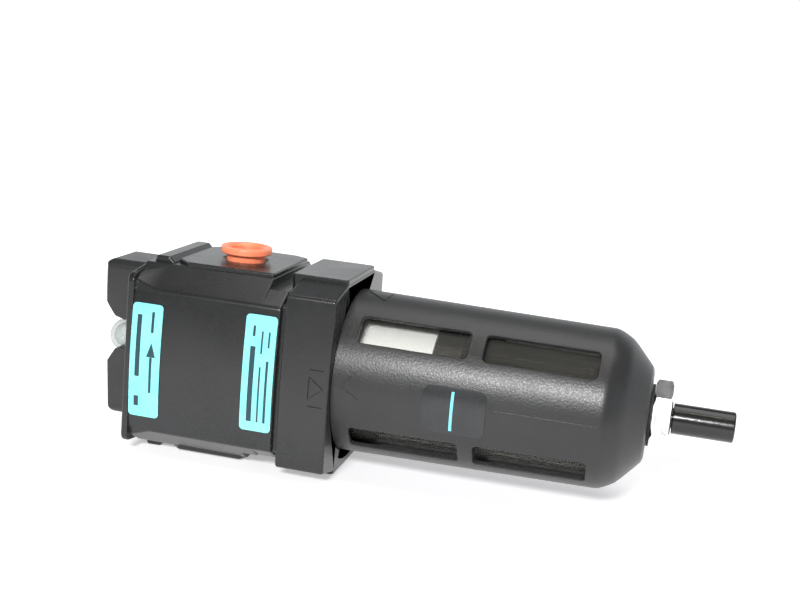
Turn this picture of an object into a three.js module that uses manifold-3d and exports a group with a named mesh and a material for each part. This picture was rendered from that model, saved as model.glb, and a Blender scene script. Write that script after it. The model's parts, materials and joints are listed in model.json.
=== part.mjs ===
// Modular compressed air filter (coalescing type) lying on its inlet side.
// +X runs along the bowl towards the drain, -Y is the labelled front face, +Z is the outlet side.
// Everything is drawn about the bowl axis (Y = 0, Z = 0 here), with X = 0 on the closed end of the head,
// and the whole group is then shifted so that the origin is at the bottom centre of the assembly.
import * as THREE from "three";
import { mergeVertices } from "three/addons/utils/BufferGeometryUtils.js";
import Module from "manifold-3d";

// ---------------------------------------------------------------- driving dimensions (mm)
const REST = 30.6; // half height over the clamp ridges and the collar pads
const PORT_FACE = 30.0; // half of the port face to port face length
const X_MIN = -18.0; // tip of the indicator lens
const X_MAX = 181.5; // end of the drain stem
const FRONT_Y = 28.28, FRONT_CROWN = 1.38, FRONT_Z = 22.1; // labelled face: half depth, crown, half height
const HEAD_X1 = 48.5; // end of the labelled face
const END_PLATE = 2.0; // thickness of the closed end plate
const NECK_X0 = 42.4, NECK_Z = 26.0; // relief between port pads and collar
const COLLAR_X0 = 49.9, COLLAR_X1 = 65.1, COLLAR_Y = 28.2, COLLAR_Z = 26.6, COLLAR_CROWN = 1.4;
const BAND_Y = 14.9, BAND_Z = 29.4; // sloped band of the collar and its pad
const PORT_X = 26.7, PORT_R = 6.5, PORT_CHAMFER = 0.9;
const CHAMBER_R = 19.5, CHAMBER_X0 = 19.5, CHAMBER_X1 = 46.5;
const SPIGOT_R = 9.6, SPIGOT_BORE = 7.0, SPIGOT_X1 = 65.5, SPIGOT_BORE_X0 = 15.5;
const SOCKET_R = 21.6, SOCKET_X1 = 54.0;
const GUARD_SOCKET_R = 25.7;
const TRACK_R = 28.4, TRACK_X0 = 54.0, TRACK_X1 = 60.1;
const TWIST = 45; // degrees from locked to unlocked
const ENTRY_HALF = 23, LUG_HALF = 16; // degrees
const GUARD_R0 = 25.38, GUARD_R1 = 24.2, GUARD_X0 = 54.5, GUARD_X1 = 156.6, GUARD_BEND = 143.6;
const GUARD_WALL = 1.5;
const GUARD_END = [[23.9, 145.1], [22.95, 147.2], [21.45, 149.6], [19.1, 151.9], [15.3, 155.3], [14.1, 156.2], [12.6, 156.6]]; // shoulder and cone of the closed end
const GUARD_END_IN = [[22.35, 144.6], [21.5, 146.5], [20.15, 148.6], [18.0, 150.7], [14.3, 154.0], [12.9, 154.9]];
const LUG_R = 28.0, LUG_X0 = 55.0, LUG_X1 = 59.5;
const SLOT_W = 9.3, SLOT_X = [[70.3, 103.4], [108.0, 141.2]], SLOT_ANGLES = [44.6, -39.3, 140.7, 224.6];
const BOWL_R = 21.8, BOWL_WALL = 2.2, BOWL_X0 = 47.3, BOWL_X1 = 149.2;
const SLEEVE_R = 18.0, SLEEVE_X0 = 65.7, MEDIA_X0 = 70.2, SLEEVE_X1 = 92.0;
const NUT_AF = 19.0, NUT_X0 = 157.6, NUT_X1 = 162.8;
const STEM_R = 4.58, STEM_BORE = 2.6;
const PLUG_R = 6.15, PLUG_FLANGE_R = 8.05, PLUG_UNDER = 2.0, PLUG_TOP = 4.2;
const IND_Z = -0.4, LENS_R = 5.0, SCREW_Z = [18.2, -16.8]; // indicator centre and its screws
const COVER_Y = [-9.6, 10.2], COVER_Z = [-24.6, 26.0], COVER_X = [-13.6, -16.6]; // cover: depth, height, outer face at its lower and upper end
const SHIFT = [-(X_MIN + X_MAX) / 2, 0, REST];

// ---------------------------------------------------------------- solids
const wasm = await Module();
wasm.setup();
const { Manifold, Mesh } = wasm;

function solid(geometry) {
  const g = geometry.index ? geometry.toNonIndexed() : geometry;
  const bare = new THREE.BufferGeometry().setAttribute("position", g.getAttribute("position"));
  const m = mergeVertices(bare, 1e-4);
  const p = m.attributes.position.array, idx = m.index.array, tri = [];
  for (let i = 0; i < idx.length; i += 3) {
    const [a, b, c] = [idx[i], idx[i + 1], idx[i + 2]];
    if (a !== b && b !== c && a !== c) tri.push(a, b, c);
  }
  let vol = 0;
  for (let i = 0; i < tri.length; i += 3) {
    const [a, b, c] = [tri[i] * 3, tri[i + 1] * 3, tri[i + 2] * 3];
    vol += p[a] * (p[b + 1] * p[c + 2] - p[b + 2] * p[c + 1]) - p[a + 1] * (p[b] * p[c + 2] - p[b + 2] * p[c]) + p[a + 2] * (p[b] * p[c + 1] - p[b + 1] * p[c]);
  }
  if (vol < 0) for (let i = 0; i < tri.length; i += 3) [tri[i + 1], tri[i + 2]] = [tri[i + 2], tri[i + 1]];
  return new Manifold(new Mesh({ numProp: 3, vertProperties: new Float32Array(p), triVerts: new Uint32Array(tri) }));
}
const basis = (x, y, z) => new THREE.Matrix4().makeBasis(new THREE.Vector3(...x), new THREE.Vector3(...y), new THREE.Vector3(...z));
const ALONG_X = basis([0, 1, 0], [0, 0, 1], [1, 0, 0]); // sketch (Y, Z) pulled along X
const ALONG_Y = basis([0, 0, 1], [1, 0, 0], [0, 1, 0]); // sketch (Z, X) pulled along Y
const shapeOf = (pts) => new THREE.Shape(pts.map(([a, b]) => new THREE.Vector2(a, b)));
function prism(pts, from, to, frame) {
  const g = new THREE.ExtrudeGeometry(shapeOf(pts), { depth: to - from, bevelEnabled: false, steps: 1, curveSegments: 4 });
  g.translate(0, 0, from);
  if (frame) g.applyMatrix4(frame);
  return solid(g);
}
const prismX = (yz, x0, x1) => prism(yz, x0, x1, ALONG_X);
const prismY = (zx, y0, y1) => prism(zx, y0, y1, ALONG_Y);
const prismZ = (xy, z0, z1) => prism(xy, z0, z1, null);
// profile of (radius, x) points turned about the X axis
function turned(profile, segments = 32) {
  const closed = profile[0][0] < 1e-9 && profile[profile.length - 1][0] < 1e-9;
  const pts = profile.map(([r, x]) => new THREE.Vector2(Math.max(r, 0), x));
  if (!closed) pts.push(pts[0].clone());
  const g = new THREE.LatheGeometry(pts, segments);
  g.applyMatrix4(basis([0, 1, 0], [1, 0, 0], [0, 0, -1]));
  return solid(g);
}
const rod = (r, x0, x1, seg = 32) => turned([[0, x0], [r, x0], [r, x1], [0, x1]], seg);
const ring = (r0, r1, x0, x1, seg = 32) => turned([[r0, x0], [r1, x0], [r1, x1], [r0, x1]], seg);
function torus(rc, r, x, seg = 40, n = 10) {
  const p = [];
  for (let i = 0; i < n; i++) p.push([rc + r * Math.cos((2 * Math.PI * i) / n), x + r * Math.sin((2 * Math.PI * i) / n)]);
  return turned(p, seg);
}
// the same turned shapes about a vertical axis through (x, y)
function turnedZ(profile, x, y, segments = 32) {
  const closed = profile[0][0] < 1e-9 && profile[profile.length - 1][0] < 1e-9;
  const pts = profile.map(([r, z]) => new THREE.Vector2(Math.max(r, 0), z));
  if (!closed) pts.push(pts[0].clone());
  const g = new THREE.LatheGeometry(pts, segments);
  g.rotateX(Math.PI / 2);
  g.translate(x, y, 0);
  return solid(g);
}
const rodZ = (r, z0, z1, x, y, seg = 32) => turnedZ([[0, z0], [r, z0], [r, z1], [0, z1]], x, y, seg);
const rad = (d) => (d * Math.PI) / 180;
// angle t is measured in the Y-Z plane from the front (-Y) up towards +Z
const polar = (r, t) => [-r * Math.cos(rad(t)), r * Math.sin(rad(t))];
function wedge(t0, t1, x0, x1, r = 60) {
  const n = Math.max(2, Math.ceil((t1 - t0) / 20)), pts = [[0, 0]];
  for (let i = 0; i <= n; i++) pts.push(polar(r, t0 + ((t1 - t0) * i) / n));
  return prismX(pts, x0, x1);
}
const mirrorYZ = (half) => [...half, ...half.map(([y, z]) => [-y, z]).reverse()];
function chamferedRect(a0, a1, b0, b1, c) {
  return [[a0 + c, b0], [a1 - c, b0], [a1, b0 + c], [a1, b1 - c], [a1 - c, b1], [a0 + c, b1], [a0, b1 - c], [a0, b0 + c]];
}
function roundRect(a0, a1, b0, b1, r, n = 3) {
  const pts = [];
  for (const [ca, cb, s] of [[a1 - r, b0 + r, -90], [a1 - r, b1 - r, 0], [a0 + r, b1 - r, 90], [a0 + r, b0 + r, 180]])
    for (let i = 0; i <= n; i++) pts.push([ca + r * Math.cos(rad(s + (90 * i) / n)), cb + r * Math.sin(rad(s + (90 * i) / n))]);
  return pts;
}
// rounds the corners of a polygon, one radius each
function rounded(pts, radii, n = 3) {
  const out = [], k = pts.length;
  for (let i = 0; i < k; i++) {
    const r = radii[i], [px, py] = pts[i], [ax, ay] = pts[(i + k - 1) % k], [bx, by] = pts[(i + 1) % k];
    const la = Math.hypot(ax - px, ay - py), lb = Math.hypot(bx - px, by - py);
    const u = [(ax - px) / la, (ay - py) / la], v = [(bx - px) / lb, (by - py) / lb];
    const half = Math.acos(u[0] * v[0] + u[1] * v[1]) / 2;
    if (r <= 0) { out.push([px, py]); continue; }
    const t = Math.min(r / Math.tan(half), 0.49 * la, 0.49 * lb), rr = t * Math.tan(half), d = rr / Math.sin(half);
    const m = [u[0] + v[0], u[1] + v[1]], lm = Math.hypot(...m), c = [px + (m[0] / lm) * d, py + (m[1] / lm) * d];
    const a0 = Math.atan2(py + u[1] * t - c[1], px + u[0] * t - c[0]), a1 = Math.atan2(py + v[1] * t - c[1], px + v[0] * t - c[0]);
    let turn = a1 - a0;
    while (turn > Math.PI) turn -= 2 * Math.PI;
    while (turn < -Math.PI) turn += 2 * Math.PI;
    for (let j = 0; j <= n; j++) out.push([c[0] + rr * Math.cos(a0 + (turn * j) / n), c[1] + rr * Math.sin(a0 + (turn * j) / n)]);
  }
  return out;
}
const all = (list) => list.reduce((a, b) => a.add(b));

// ---------------------------------------------------------------- head casting
const crownY = (z, y, c, zh) => -(y - c * (z / zh) ** 2);
const frontPts = (y, c, zh, n = 6) => Array.from({ length: n + 1 }, (_, i) => { const z = zh - (2 * zh * i) / n; return [crownY(z, y, c, zh), z]; });
// closed section whose front and back are crowned, with chamfers up to flats at +-top
function section(y, c, zh, flatY, top) {
  const front = frontPts(y, c, zh);
  const half = [[-flatY, top], ...front, [-flatY, -top]];
  return mirrorYZ(half);
}
function headCasting() {
  const padOut = [[9.8, -12.6], [14.6, -17.4], [42.2, -16.6], [42.2, 15.6], [37.6, 18.0], [14.6, 18.0], [9.8, 13.0]];
  const padIn = [[9.8, -12.6], [14.6, -17.2], [35.2, -17.0], [36.8, -13.6], [36.8, 13.6], [35.2, 17.6], [14.6, 18.0], [9.8, 13.0]];
  let h = prismX(section(FRONT_Y, FRONT_CROWN, FRONT_Z, 17.4, 28.7), 1.2, NECK_X0);
  h = h.subtract(prismZ([[37.4, -32], [44, -32], [44, 32], [37.4, 32]], -32, -NECK_Z)); // the inlet side steps back sooner
  h = h.add(prismX(section(FRONT_Y, FRONT_CROWN, FRONT_Z, 20.4, NECK_Z), NECK_X0 - 1, HEAD_X1));
  const plate = mirrorYZ([[-10, 28.5], [-28.0, 26.2], [-28.0, -26.2], [-10, -28.5]]);
  h = h.add(prismX(rounded(plate, [0, 2.6, 2.6, 0, 0, 2.6, 2.6, 0], 4), 0, END_PLATE));
  // the body flares into the corners of the end plate
  const flare = mirrorYZ([[-17.4, 27.9], [-23.0, 26.2], [-25.8, 24.6], ...frontPts(FRONT_Y, FRONT_CROWN, FRONT_Z), [-25.8, -24.6], [-23.0, -26.2], [-17.4, -27.9]]);
  h = h.add(Manifold.hull([prismX(flare, END_PLATE - 0.2, END_PLATE), prismX(section(FRONT_Y, FRONT_CROWN, FRONT_Z, 17.4, 28.6), 8.6, 8.8)]));
  h = h.add(prismX(section(26.2, 0.8, 22.6, 14.5, NECK_Z), HEAD_X1 - 1, COLLAR_X0 + 1));
  for (const s of [1, -1]) {
    const [z0, z1] = s > 0 ? [26, PORT_FACE] : [-PORT_FACE, -26];
    h = h.add(prismZ(s > 0 ? padOut : padIn, z0, z1));
    const zx = s > 0 ? [[27, 2.2], [REST, 3.4], [REST, 7.6], [28.9, 9.3], [27, 9.3]] : [[-27, 9.3], [-28.9, 9.3], [-REST, 7.6], [-REST, 3.4], [-27, 2.2]];
    h = h.add(prismY(zx, -15.6, 16.2));
  }
  // square collar with sloped bands and raised pads
  let c = prismX(section(COLLAR_Y, COLLAR_CROWN, COLLAR_Z, BAND_Y, BAND_Z), COLLAR_X0, COLLAR_X1);
  for (const s of [1, -1]) {
    const xy = chamferedRect(47.2, 64.8, -14.6, 15.6, 0.8);
    c = c.add(s > 0 ? prismZ(xy, 25.5, REST) : prismZ(xy, -REST, -25.5));
  }
  h = h.add(c);
  // chambers, sockets and the bayonet track
  let cut = ring(0.0001 + SPIGOT_R, CHAMBER_R, CHAMBER_X0, CHAMBER_X1, 32);
  cut = cut.add(turned([[SPIGOT_R, CHAMBER_X1 - 0.5], [SOCKET_R, CHAMBER_X1 - 0.5], [SOCKET_R, SOCKET_X1 + 0.01], [SPIGOT_R, SOCKET_X1 + 0.01]], 48));
  cut = cut.add(turned([[SPIGOT_R, SOCKET_X1], [GUARD_SOCKET_R, SOCKET_X1], [GUARD_SOCKET_R, COLLAR_X1 + 6], [SPIGOT_R, COLLAR_X1 + 6]], 48));
  h = h.subtract(cut);
  const track = ring(24.5, TRACK_R, TRACK_X0, TRACK_X1, 48), entry = ring(24.5, TRACK_R, TRACK_X0, COLLAR_X1 + 2, 48);
  for (const a of [90, 270]) {
    h = h.subtract(track.intersect(wedge(a - TWIST - LUG_HALF - 2, a + ENTRY_HALF, TRACK_X0 - 1, TRACK_X1 + 1)));
    h = h.subtract(entry.intersect(wedge(a - ENTRY_HALF, a + ENTRY_HALF, TRACK_X0 - 1, COLLAR_X1 + 3)));
  }
  // the spigot reaches through the socket, and the inlet passage crosses the outlet chamber
  h = h.add(ring(SPIGOT_BORE - 0.5, SPIGOT_R + 0.02, CHAMBER_X0 - 1, SPIGOT_X1, 32));
  h = h.add(rodZ(9.2, -20.5, -5, PORT_X + 1.3, 0, 20));
  h = h.subtract(rod(SPIGOT_BORE, SPIGOT_BORE_X0, SPIGOT_X1 + 1, 24));
  h = h.subtract(ring(8.55, SPIGOT_R + 1, 61.0, 62.9, 32));
  h = h.subtract(turnedZ([[0, -PORT_FACE - 1], [PORT_R + PORT_CHAMFER + 1, -PORT_FACE - 1], [PORT_R, -PORT_FACE + PORT_CHAMFER], [PORT_R, -2], [0, -2]], PORT_X, 0, 28));
  h = h.subtract(turnedZ([[0, 12], [PORT_R, 12], [PORT_R, PORT_FACE - PORT_CHAMFER], [PORT_R + PORT_CHAMFER + 1, PORT_FACE + 1], [0, PORT_FACE + 1]], PORT_X, 0, 28));
  // indicator passage and screw holes in the closed end
  h = h.subtract(rod(1.9, -1, 2, 16).translate(0, 0, IND_Z)).subtract(rod(3.0, 1.0, SPIGOT_BORE_X0 + 1, 16).translate(0, 0, IND_Z)); // the step is the spring's seat
  for (const z of SCREW_Z) h = h.subtract(rod(1.75, -1, 11, 12).translate(0, 0, z));
  return h;
}

// ---------------------------------------------------------------- labels and plug
function curvedLabel(x0, x1, z0, z1) {
  const n = 6, out = [], back = [];
  for (let i = 0; i <= n; i++) {
    const z = z0 + ((z1 - z0) * i) / n, y = crownY(z, FRONT_Y, FRONT_CROWN, FRONT_Z);
    out.push([y - 0.32, z]);
    back.unshift([y - 0.12, z]);
  }
  const strip = prismX([...out, ...back], x0, x1);
  return strip.intersect(prismY(roundRect(z0, z1, x0, x1, 1.0, 3), -40, 0));
}
const outletPlug = () => turnedZ([
  [0, PORT_FACE - 8.5], [PLUG_R - 0.7, PORT_FACE - 8.5], [PLUG_R - 0.25, PORT_FACE - 7.8], [PLUG_R, PORT_FACE + 0.2], [PLUG_R, PORT_FACE + PLUG_UNDER], [PLUG_FLANGE_R - 0.5, PORT_FACE + PLUG_UNDER],
  [PLUG_FLANGE_R, PORT_FACE + PLUG_UNDER + 0.5], [PLUG_FLANGE_R, PORT_FACE + PLUG_TOP - 0.5], [PLUG_FLANGE_R - 0.5, PORT_FACE + PLUG_TOP], [PLUG_R - 0.2, PORT_FACE + PLUG_TOP], [PLUG_R - 0.8, PORT_FACE + PLUG_TOP - 0.8],
  [PLUG_R - 1.2, PORT_FACE - 7.0], [0, PORT_FACE - 7.0]], PORT_X, 0, 28);

// ---------------------------------------------------------------- pressure drop indicator
function indicatorHousing() {
  const [y0, y1] = COVER_Y, [z0, z1] = COVER_Z, [xLow, xHigh] = COVER_X, at = (m) => m.translate(0, 0, IND_Z);
  let b = prismX(roundRect(y0, y1, z0, z1, 3.0, 3), -16.8, -0.35);
  b = b.intersect(prismY(rounded([[z0, 6], [z0, xLow], [z1, xHigh], [z1, 6]], [0, 2.8, 2.4, 0], 3), -12, 12)); // leaning outer face, rounded ends
  b = b.intersect(prismZ(rounded([[6, y0], [xHigh, y0], [xHigh, y1], [6, y1]], [0, 1.6, 6.0, 0], 4), -30, 30)); // corners in plan
  b = b.subtract(prismY([[-10.9, -16.9], [13.8, -16.9], [7.9, -12.6], [7.0, -9.4], [7.0, -5.4], [-2.9, -5.4], [-2.9, -9.0], [-2.5, -11.9]], -12, 12));
  b = b.subtract(at(rod(LENS_R + 0.3, -17, -4, 24)));
  b = b.subtract(at(rod(6.9, -4.7, 0.2, 24)));
  b = b.subtract(at(ring(7.6, 9.2, -1.3, 0.2, 24)));
  for (const z of SCREW_Z) {
    b = b.subtract(rod(1.8, -17, 1, 12).translate(0, 0, z));
    b = b.subtract(rod(3.3, -17, -11.3, 16).translate(0, 0, z));
  }
  return b;
}
const indicatorLens = () => {
  const bore = LENS_R - 1.2, inner = [], outer = [[bore, -0.6], [6.6, -0.6], [6.6, -4.5], [LENS_R, -4.5], [LENS_R, -14.0]];
  for (let i = 0; i <= 3; i++) { const a = 90 - (90 * i) / 3; inner.push([i ? bore * Math.cos(rad(a)) : 0, -13.8 - 2.8 * Math.sin(rad(a))]); }
  for (let i = 1; i <= 5; i++) { const a = (90 * i) / 5; outer.push([i < 5 ? LENS_R * Math.cos(rad(a)) : 0, -14.0 - (-14.0 - X_MIN) * Math.sin(rad(a))]); }
  return turned([...inner, ...outer], 28).translate(0, 0, IND_Z);
};
const indicatorPiston = () => turned([[0, -11.2], [2.3, -11.2], [2.8, -10.7], [2.8, -6.6], [1.5, -6.6], [1.5, 12.0], [2.6, 12.0], [2.6, 14.6], [0, 14.6]], 16).translate(0, 0, IND_Z);
function coil(rMean, wire, x0, x1, turns, sides = 5, perTurn = 9) {
  const pts = [];
  const n = turns * perTurn;
  for (let i = 0; i <= n; i++) {
    const t = i / n, a = t * turns * 2 * Math.PI;
    pts.push(new THREE.Vector3(x0 + (x1 - x0) * t, rMean * Math.cos(a), rMean * Math.sin(a)));
  }
  const path = new THREE.CatmullRomCurve3(pts);
  const s = new THREE.Shape(Array.from({ length: sides }, (_, i) => new THREE.Vector2(wire * Math.cos((2 * Math.PI * i) / sides), wire * Math.sin((2 * Math.PI * i) / sides))));
  return solid(new THREE.ExtrudeGeometry(s, { steps: n, bevelEnabled: false, extrudePath: path }));
}
const screw = (z) => {
  let s = turned([[0, -13.6], [2.5, -13.6], [3.0, -13.1], [3.0, -11.4], [1.5, -11.4], [1.5, 9.0], [0, 9.9]], 16);
  s = s.subtract(prismX(Array.from({ length: 6 }, (_, i) => [1.4 * Math.cos(rad(60 * i)), 1.4 * Math.sin(rad(60 * i))]), -15, -12.3));
  return s.translate(0, 0, z);
};

// ---------------------------------------------------------------- filter element
const elementTopCap = () => turned([[10.05, 57.0], [12.4, 57.0], [12.4, 62.0], [SLEEVE_R + 0.4, 62.0], [SLEEVE_R + 0.4, SLEEVE_X0 - 0.3], [13.5, SLEEVE_X0 - 0.3], [13.5, 69.9], [8.0, 69.9], [8.0, 66.4], [10.05, 66.4]], 28);
const elementBottomCap = () => turned([[0, 92.3], [SLEEVE_R + 0.4, 92.3], [SLEEVE_R + 0.4, 100.4], [SLEEVE_R - 0.6, 101.4], [5.5, 101.4], [4.8, 104.6], [0, 104.6]], 28);
function elementCore() {
  let c = ring(8.7, 9.6, MEDIA_X0, SLEEVE_X1, 24);
  for (const x of [76.5, 85.5]) for (const a of [0, 60, 120]) {
    const hole = rodZ(1.8, -14, 14, 0, 0, 6).rotate([a, 0, 0]).translate(x, 0, 0);
    c = c.subtract(hole);
  }
  return c;
}

// ---------------------------------------------------------------- bowl group
function bowl() {
  const outer = [[18.4, BOWL_X0], [20.8, BOWL_X0], [21.2, BOWL_X0 + 0.4], [21.2, 49.0], [19.75, 49.0], [19.75, 51.8], [21.2, 51.8], [21.2, 57.0], [23.2, 57.0], [23.2, 60.1], [BOWL_R, 60.1], [BOWL_R - 0.5, 139.5]];
  for (let i = 1; i <= 4; i++) { const a = rad((90 * i) / 4); outer.push([8.2 + (BOWL_R - 0.5 - 8.2) * Math.cos(a), 139.5 + (BOWL_X1 - 139.5) * Math.sin(a)]); }
  outer.push([8.2, 154.7], [5.4, 154.7]);
  const inner = [[5.4, 147.0]];
  for (let i = 4; i >= 1; i--) { const a = rad((90 * i) / 4); inner.push([8.2 + (BOWL_R - 0.5 - BOWL_WALL - 8.2) * Math.cos(a), 139.5 + (147.0 - 139.5) * Math.sin(a)]); }
  inner.push([BOWL_R - BOWL_WALL - 0.5, 139.5], [BOWL_R - BOWL_WALL, 62.5], [18.4, 60.0]);
  return turned([...outer, ...inner], 40);
}
const guardR = (x) => GUARD_R0 - ((GUARD_R0 - GUARD_R1) * (x - COLLAR_X1)) / (GUARD_BEND - COLLAR_X1);
function bowlGuard() {
  const outer = [[23.6, GUARD_X0], [GUARD_R0 - 0.3, GUARD_X0], [GUARD_R0, GUARD_X0 + 0.4], [GUARD_R0, COLLAR_X1], [guardR(106), 106], [GUARD_R1, GUARD_BEND]];
  outer.push(...GUARD_END, [5.5, GUARD_X1]);
  const inner = [[5.5, 154.9], ...GUARD_END_IN.slice().reverse()];
  inner.push([GUARD_R1 - GUARD_WALL, 143.4], [GUARD_R0 - GUARD_WALL, 63.8], [22.3, 63.0], [22.3, 60.4], [23.6, 60.4]);
  let g = turned([...outer, ...inner], 48);
  for (const a of SLOT_ANGLES) for (const [x0, x1] of SLOT_X) {
    // slot prism drawn facing the front, then turned to its angle
    const s = prismY(roundRect(-SLOT_W / 2, SLOT_W / 2, x0, x1, 1.5, 2), -40, -18).rotate([-a, 0, 0]);
    g = g.subtract(s);
  }
  const lugRing = ring(24.6, LUG_R, LUG_X0, LUG_X1, 48);
  for (const a of [45, 225]) g = g.add(lugRing.intersect(wedge(a - LUG_HALF, a + LUG_HALF, LUG_X0 - 1, LUG_X1 + 1)));
  return g;
}
function levelSticker() {
  const shell = turned([[guardR(91) + 0.1, 91], [guardR(91) + 0.3, 91], [guardR(113) + 0.3, 113], [guardR(113) + 0.1, 113]], 48);
  return shell.intersect(prismY(roundRect(-8.6, 5.7, 92.6, 111.3, 2.2, 4), -40, 0));
}
const drainBody = () => turned([[3.4, 143.2], [1.9, 143.2], [1.9, 142.7], [8.4, 142.7], [8.4, 145.2], [7.3, 145.2], [7.3, 145.9], [5.0, 145.9], [5.0, NUT_X1 + 0.4], [3.4, NUT_X1 + 0.4]], 20);
const drainSeal = () => torus(6.2, 0.45, 146.45, 20, 6);
const drainPoppet = () => turned([[0, 139.4], [4.6, 139.4], [5.0, 139.8], [5.0, 141.6], [4.4, 142.2], [1.5, 142.2], [1.5, 149.1], [2.9, 149.1], [2.9, 149.6], [0, 149.6]], 16);
const drainStem = () => turned([[STEM_BORE - 1.0, 150.2], [3.1, 150.2], [3.1, NUT_X1 + 0.7], [STEM_R - 0.2, NUT_X1 + 0.7], [STEM_R, NUT_X1 + 0.9], [STEM_R, X_MAX - 0.5], [STEM_R - 0.5, X_MAX], [STEM_BORE, X_MAX], [STEM_BORE - 0.2, 166.0], [STEM_BORE - 1.0, 165.6]], 20);
const drainGasket = () => ring(5.35, 9.3, GUARD_X1 + 0.12, NUT_X0 - 0.12, 20);
function drainNut() {
  const ac = NUT_AF / Math.cos(rad(30)) / 2;
  const hex = prismX(Array.from({ length: 6 }, (_, i) => polar(ac, 90 + 14 + 60 * i)), NUT_X0, NUT_X1);
  const bev = turned([[0, NUT_X0], [ac - 0.9, NUT_X0], [ac + 0.1, NUT_X0 + 0.7], [ac + 0.1, NUT_X1 - 0.7], [ac - 0.9, NUT_X1], [0, NUT_X1]], 36);
  return hex.intersect(bev).subtract(rod(5.3, NUT_X0 - 1, NUT_X1 + 1, 20));
}

// ---------------------------------------------------------------- assembly
function toGeometry(m) {
  const mesh = m.getMesh(), n = mesh.numProp, v = new Float32Array(mesh.numVert * 3);
  for (let i = 0; i < mesh.numVert; i++) v.set(mesh.vertProperties.subarray(i * n, i * n + 3), i * 3);
  const g = new THREE.BufferGeometry().setAttribute("position", new THREE.BufferAttribute(v, 3)).setIndex(new THREE.BufferAttribute(new Uint32Array(mesh.triVerts), 1));
  g.computeVertexNormals();
  return g;
}
const look = (color, roughness, metalness = 0, extra = {}) => new THREE.MeshStandardMaterial({ color, roughness, metalness, ...extra });
const CAST = look(0x3c3d3f, 0.45), PLASTIC = look(0x343537, 0.5), STEEL = look(0xd9dadc, 0.25, 1), RUBBER = look(0x1b1b1c, 0.8);
const CLEAR = look(0xdfe8e6, 0.08, 0, { transparent: true, opacity: 0.35 });
const group = new THREE.Group();
group.position.set(...SHIFT);
function piece(name, made, material, parent = group) {
  const mesh = new THREE.Mesh(toGeometry(made), material);
  mesh.name = name;
  parent.add(mesh);
}
const head = new THREE.Group(), bowlGroup = new THREE.Group(), element = new THREE.Group(), indicator = new THREE.Group();
group.add(head, indicator, element, bowlGroup);

piece("filter_head", headCasting(), CAST, head);
piece("label_left", curvedLabel(2.13, 11.9, -17.5, 17.9), look(0xa9f4f7, 0.35), head);
piece("label_right", curvedLabel(38.27, 48.0, -16.1, 19.47), look(0xa9f4f7, 0.35), head);
piece("outlet_plug", outletPlug(), look(0xff7a45, 0.4), head);

piece("indicator_housing", indicatorHousing(), PLASTIC, indicator);
piece("indicator_lens", indicatorLens(), CLEAR, indicator);
piece("indicator_piston", indicatorPiston(), look(0x2fa84f, 0.4), indicator);
piece("indicator_spring", coil(2.2, 0.3, 1.4, 11.6, 5).translate(0, 0, IND_Z), STEEL, indicator);
piece("indicator_gasket", ring(7.75, 9.05, -1.1, -0.15, 20).translate(0, 0, IND_Z), RUBBER, indicator);
piece("indicator_screw_upper", screw(SCREW_Z[0]), STEEL, indicator);
piece("indicator_screw_lower", screw(SCREW_Z[1]), STEEL, indicator);

piece("element_top_cap", elementTopCap(), PLASTIC, element);
piece("element_o_ring", torus(9.25, 0.62, 61.95, 28, 8), RUBBER, element);
piece("element_core", elementCore(), STEEL, element);
piece("element_media", ring(10.0, 13.5, MEDIA_X0, SLEEVE_X1, 28), look(0xf2f0ea, 0.9), element);
piece("element_sleeve", ring(13.95, SLEEVE_R, SLEEVE_X0, SLEEVE_X1, 32), look(0xfafafa, 0.9), element);
piece("element_bottom_cap", elementBottomCap(), PLASTIC, element);

piece("bowl", bowl(), CLEAR, bowlGroup);
piece("bowl_o_ring", torus(20.66, 0.8, 50.4, 40, 8), RUBBER, bowlGroup);
piece("bowl_guard", bowlGuard(), PLASTIC, bowlGroup);
piece("level_sticker", levelSticker(), look(0x3a3d40, 0.3), bowlGroup);
piece("drain_body", drainBody(), PLASTIC, bowlGroup);
piece("drain_seal", drainSeal(), RUBBER, bowlGroup);
piece("drain_poppet", drainPoppet(), PLASTIC, bowlGroup);
piece("drain_spring", coil(2.5, 0.28, 143.55, 148.75, 4), STEEL, bowlGroup);
piece("drain_stem", drainStem(), look(0x151516, 0.2), bowlGroup);
piece("drain_gasket", drainGasket(), RUBBER, bowlGroup);
piece("drain_nut", drainNut(), STEEL, bowlGroup);

export default group;
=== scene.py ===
import bpy
import bmesh
import json
import math
from mathutils import Matrix, Vector
from mathutils.geometry import delaunay_2d_cdt


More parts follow.
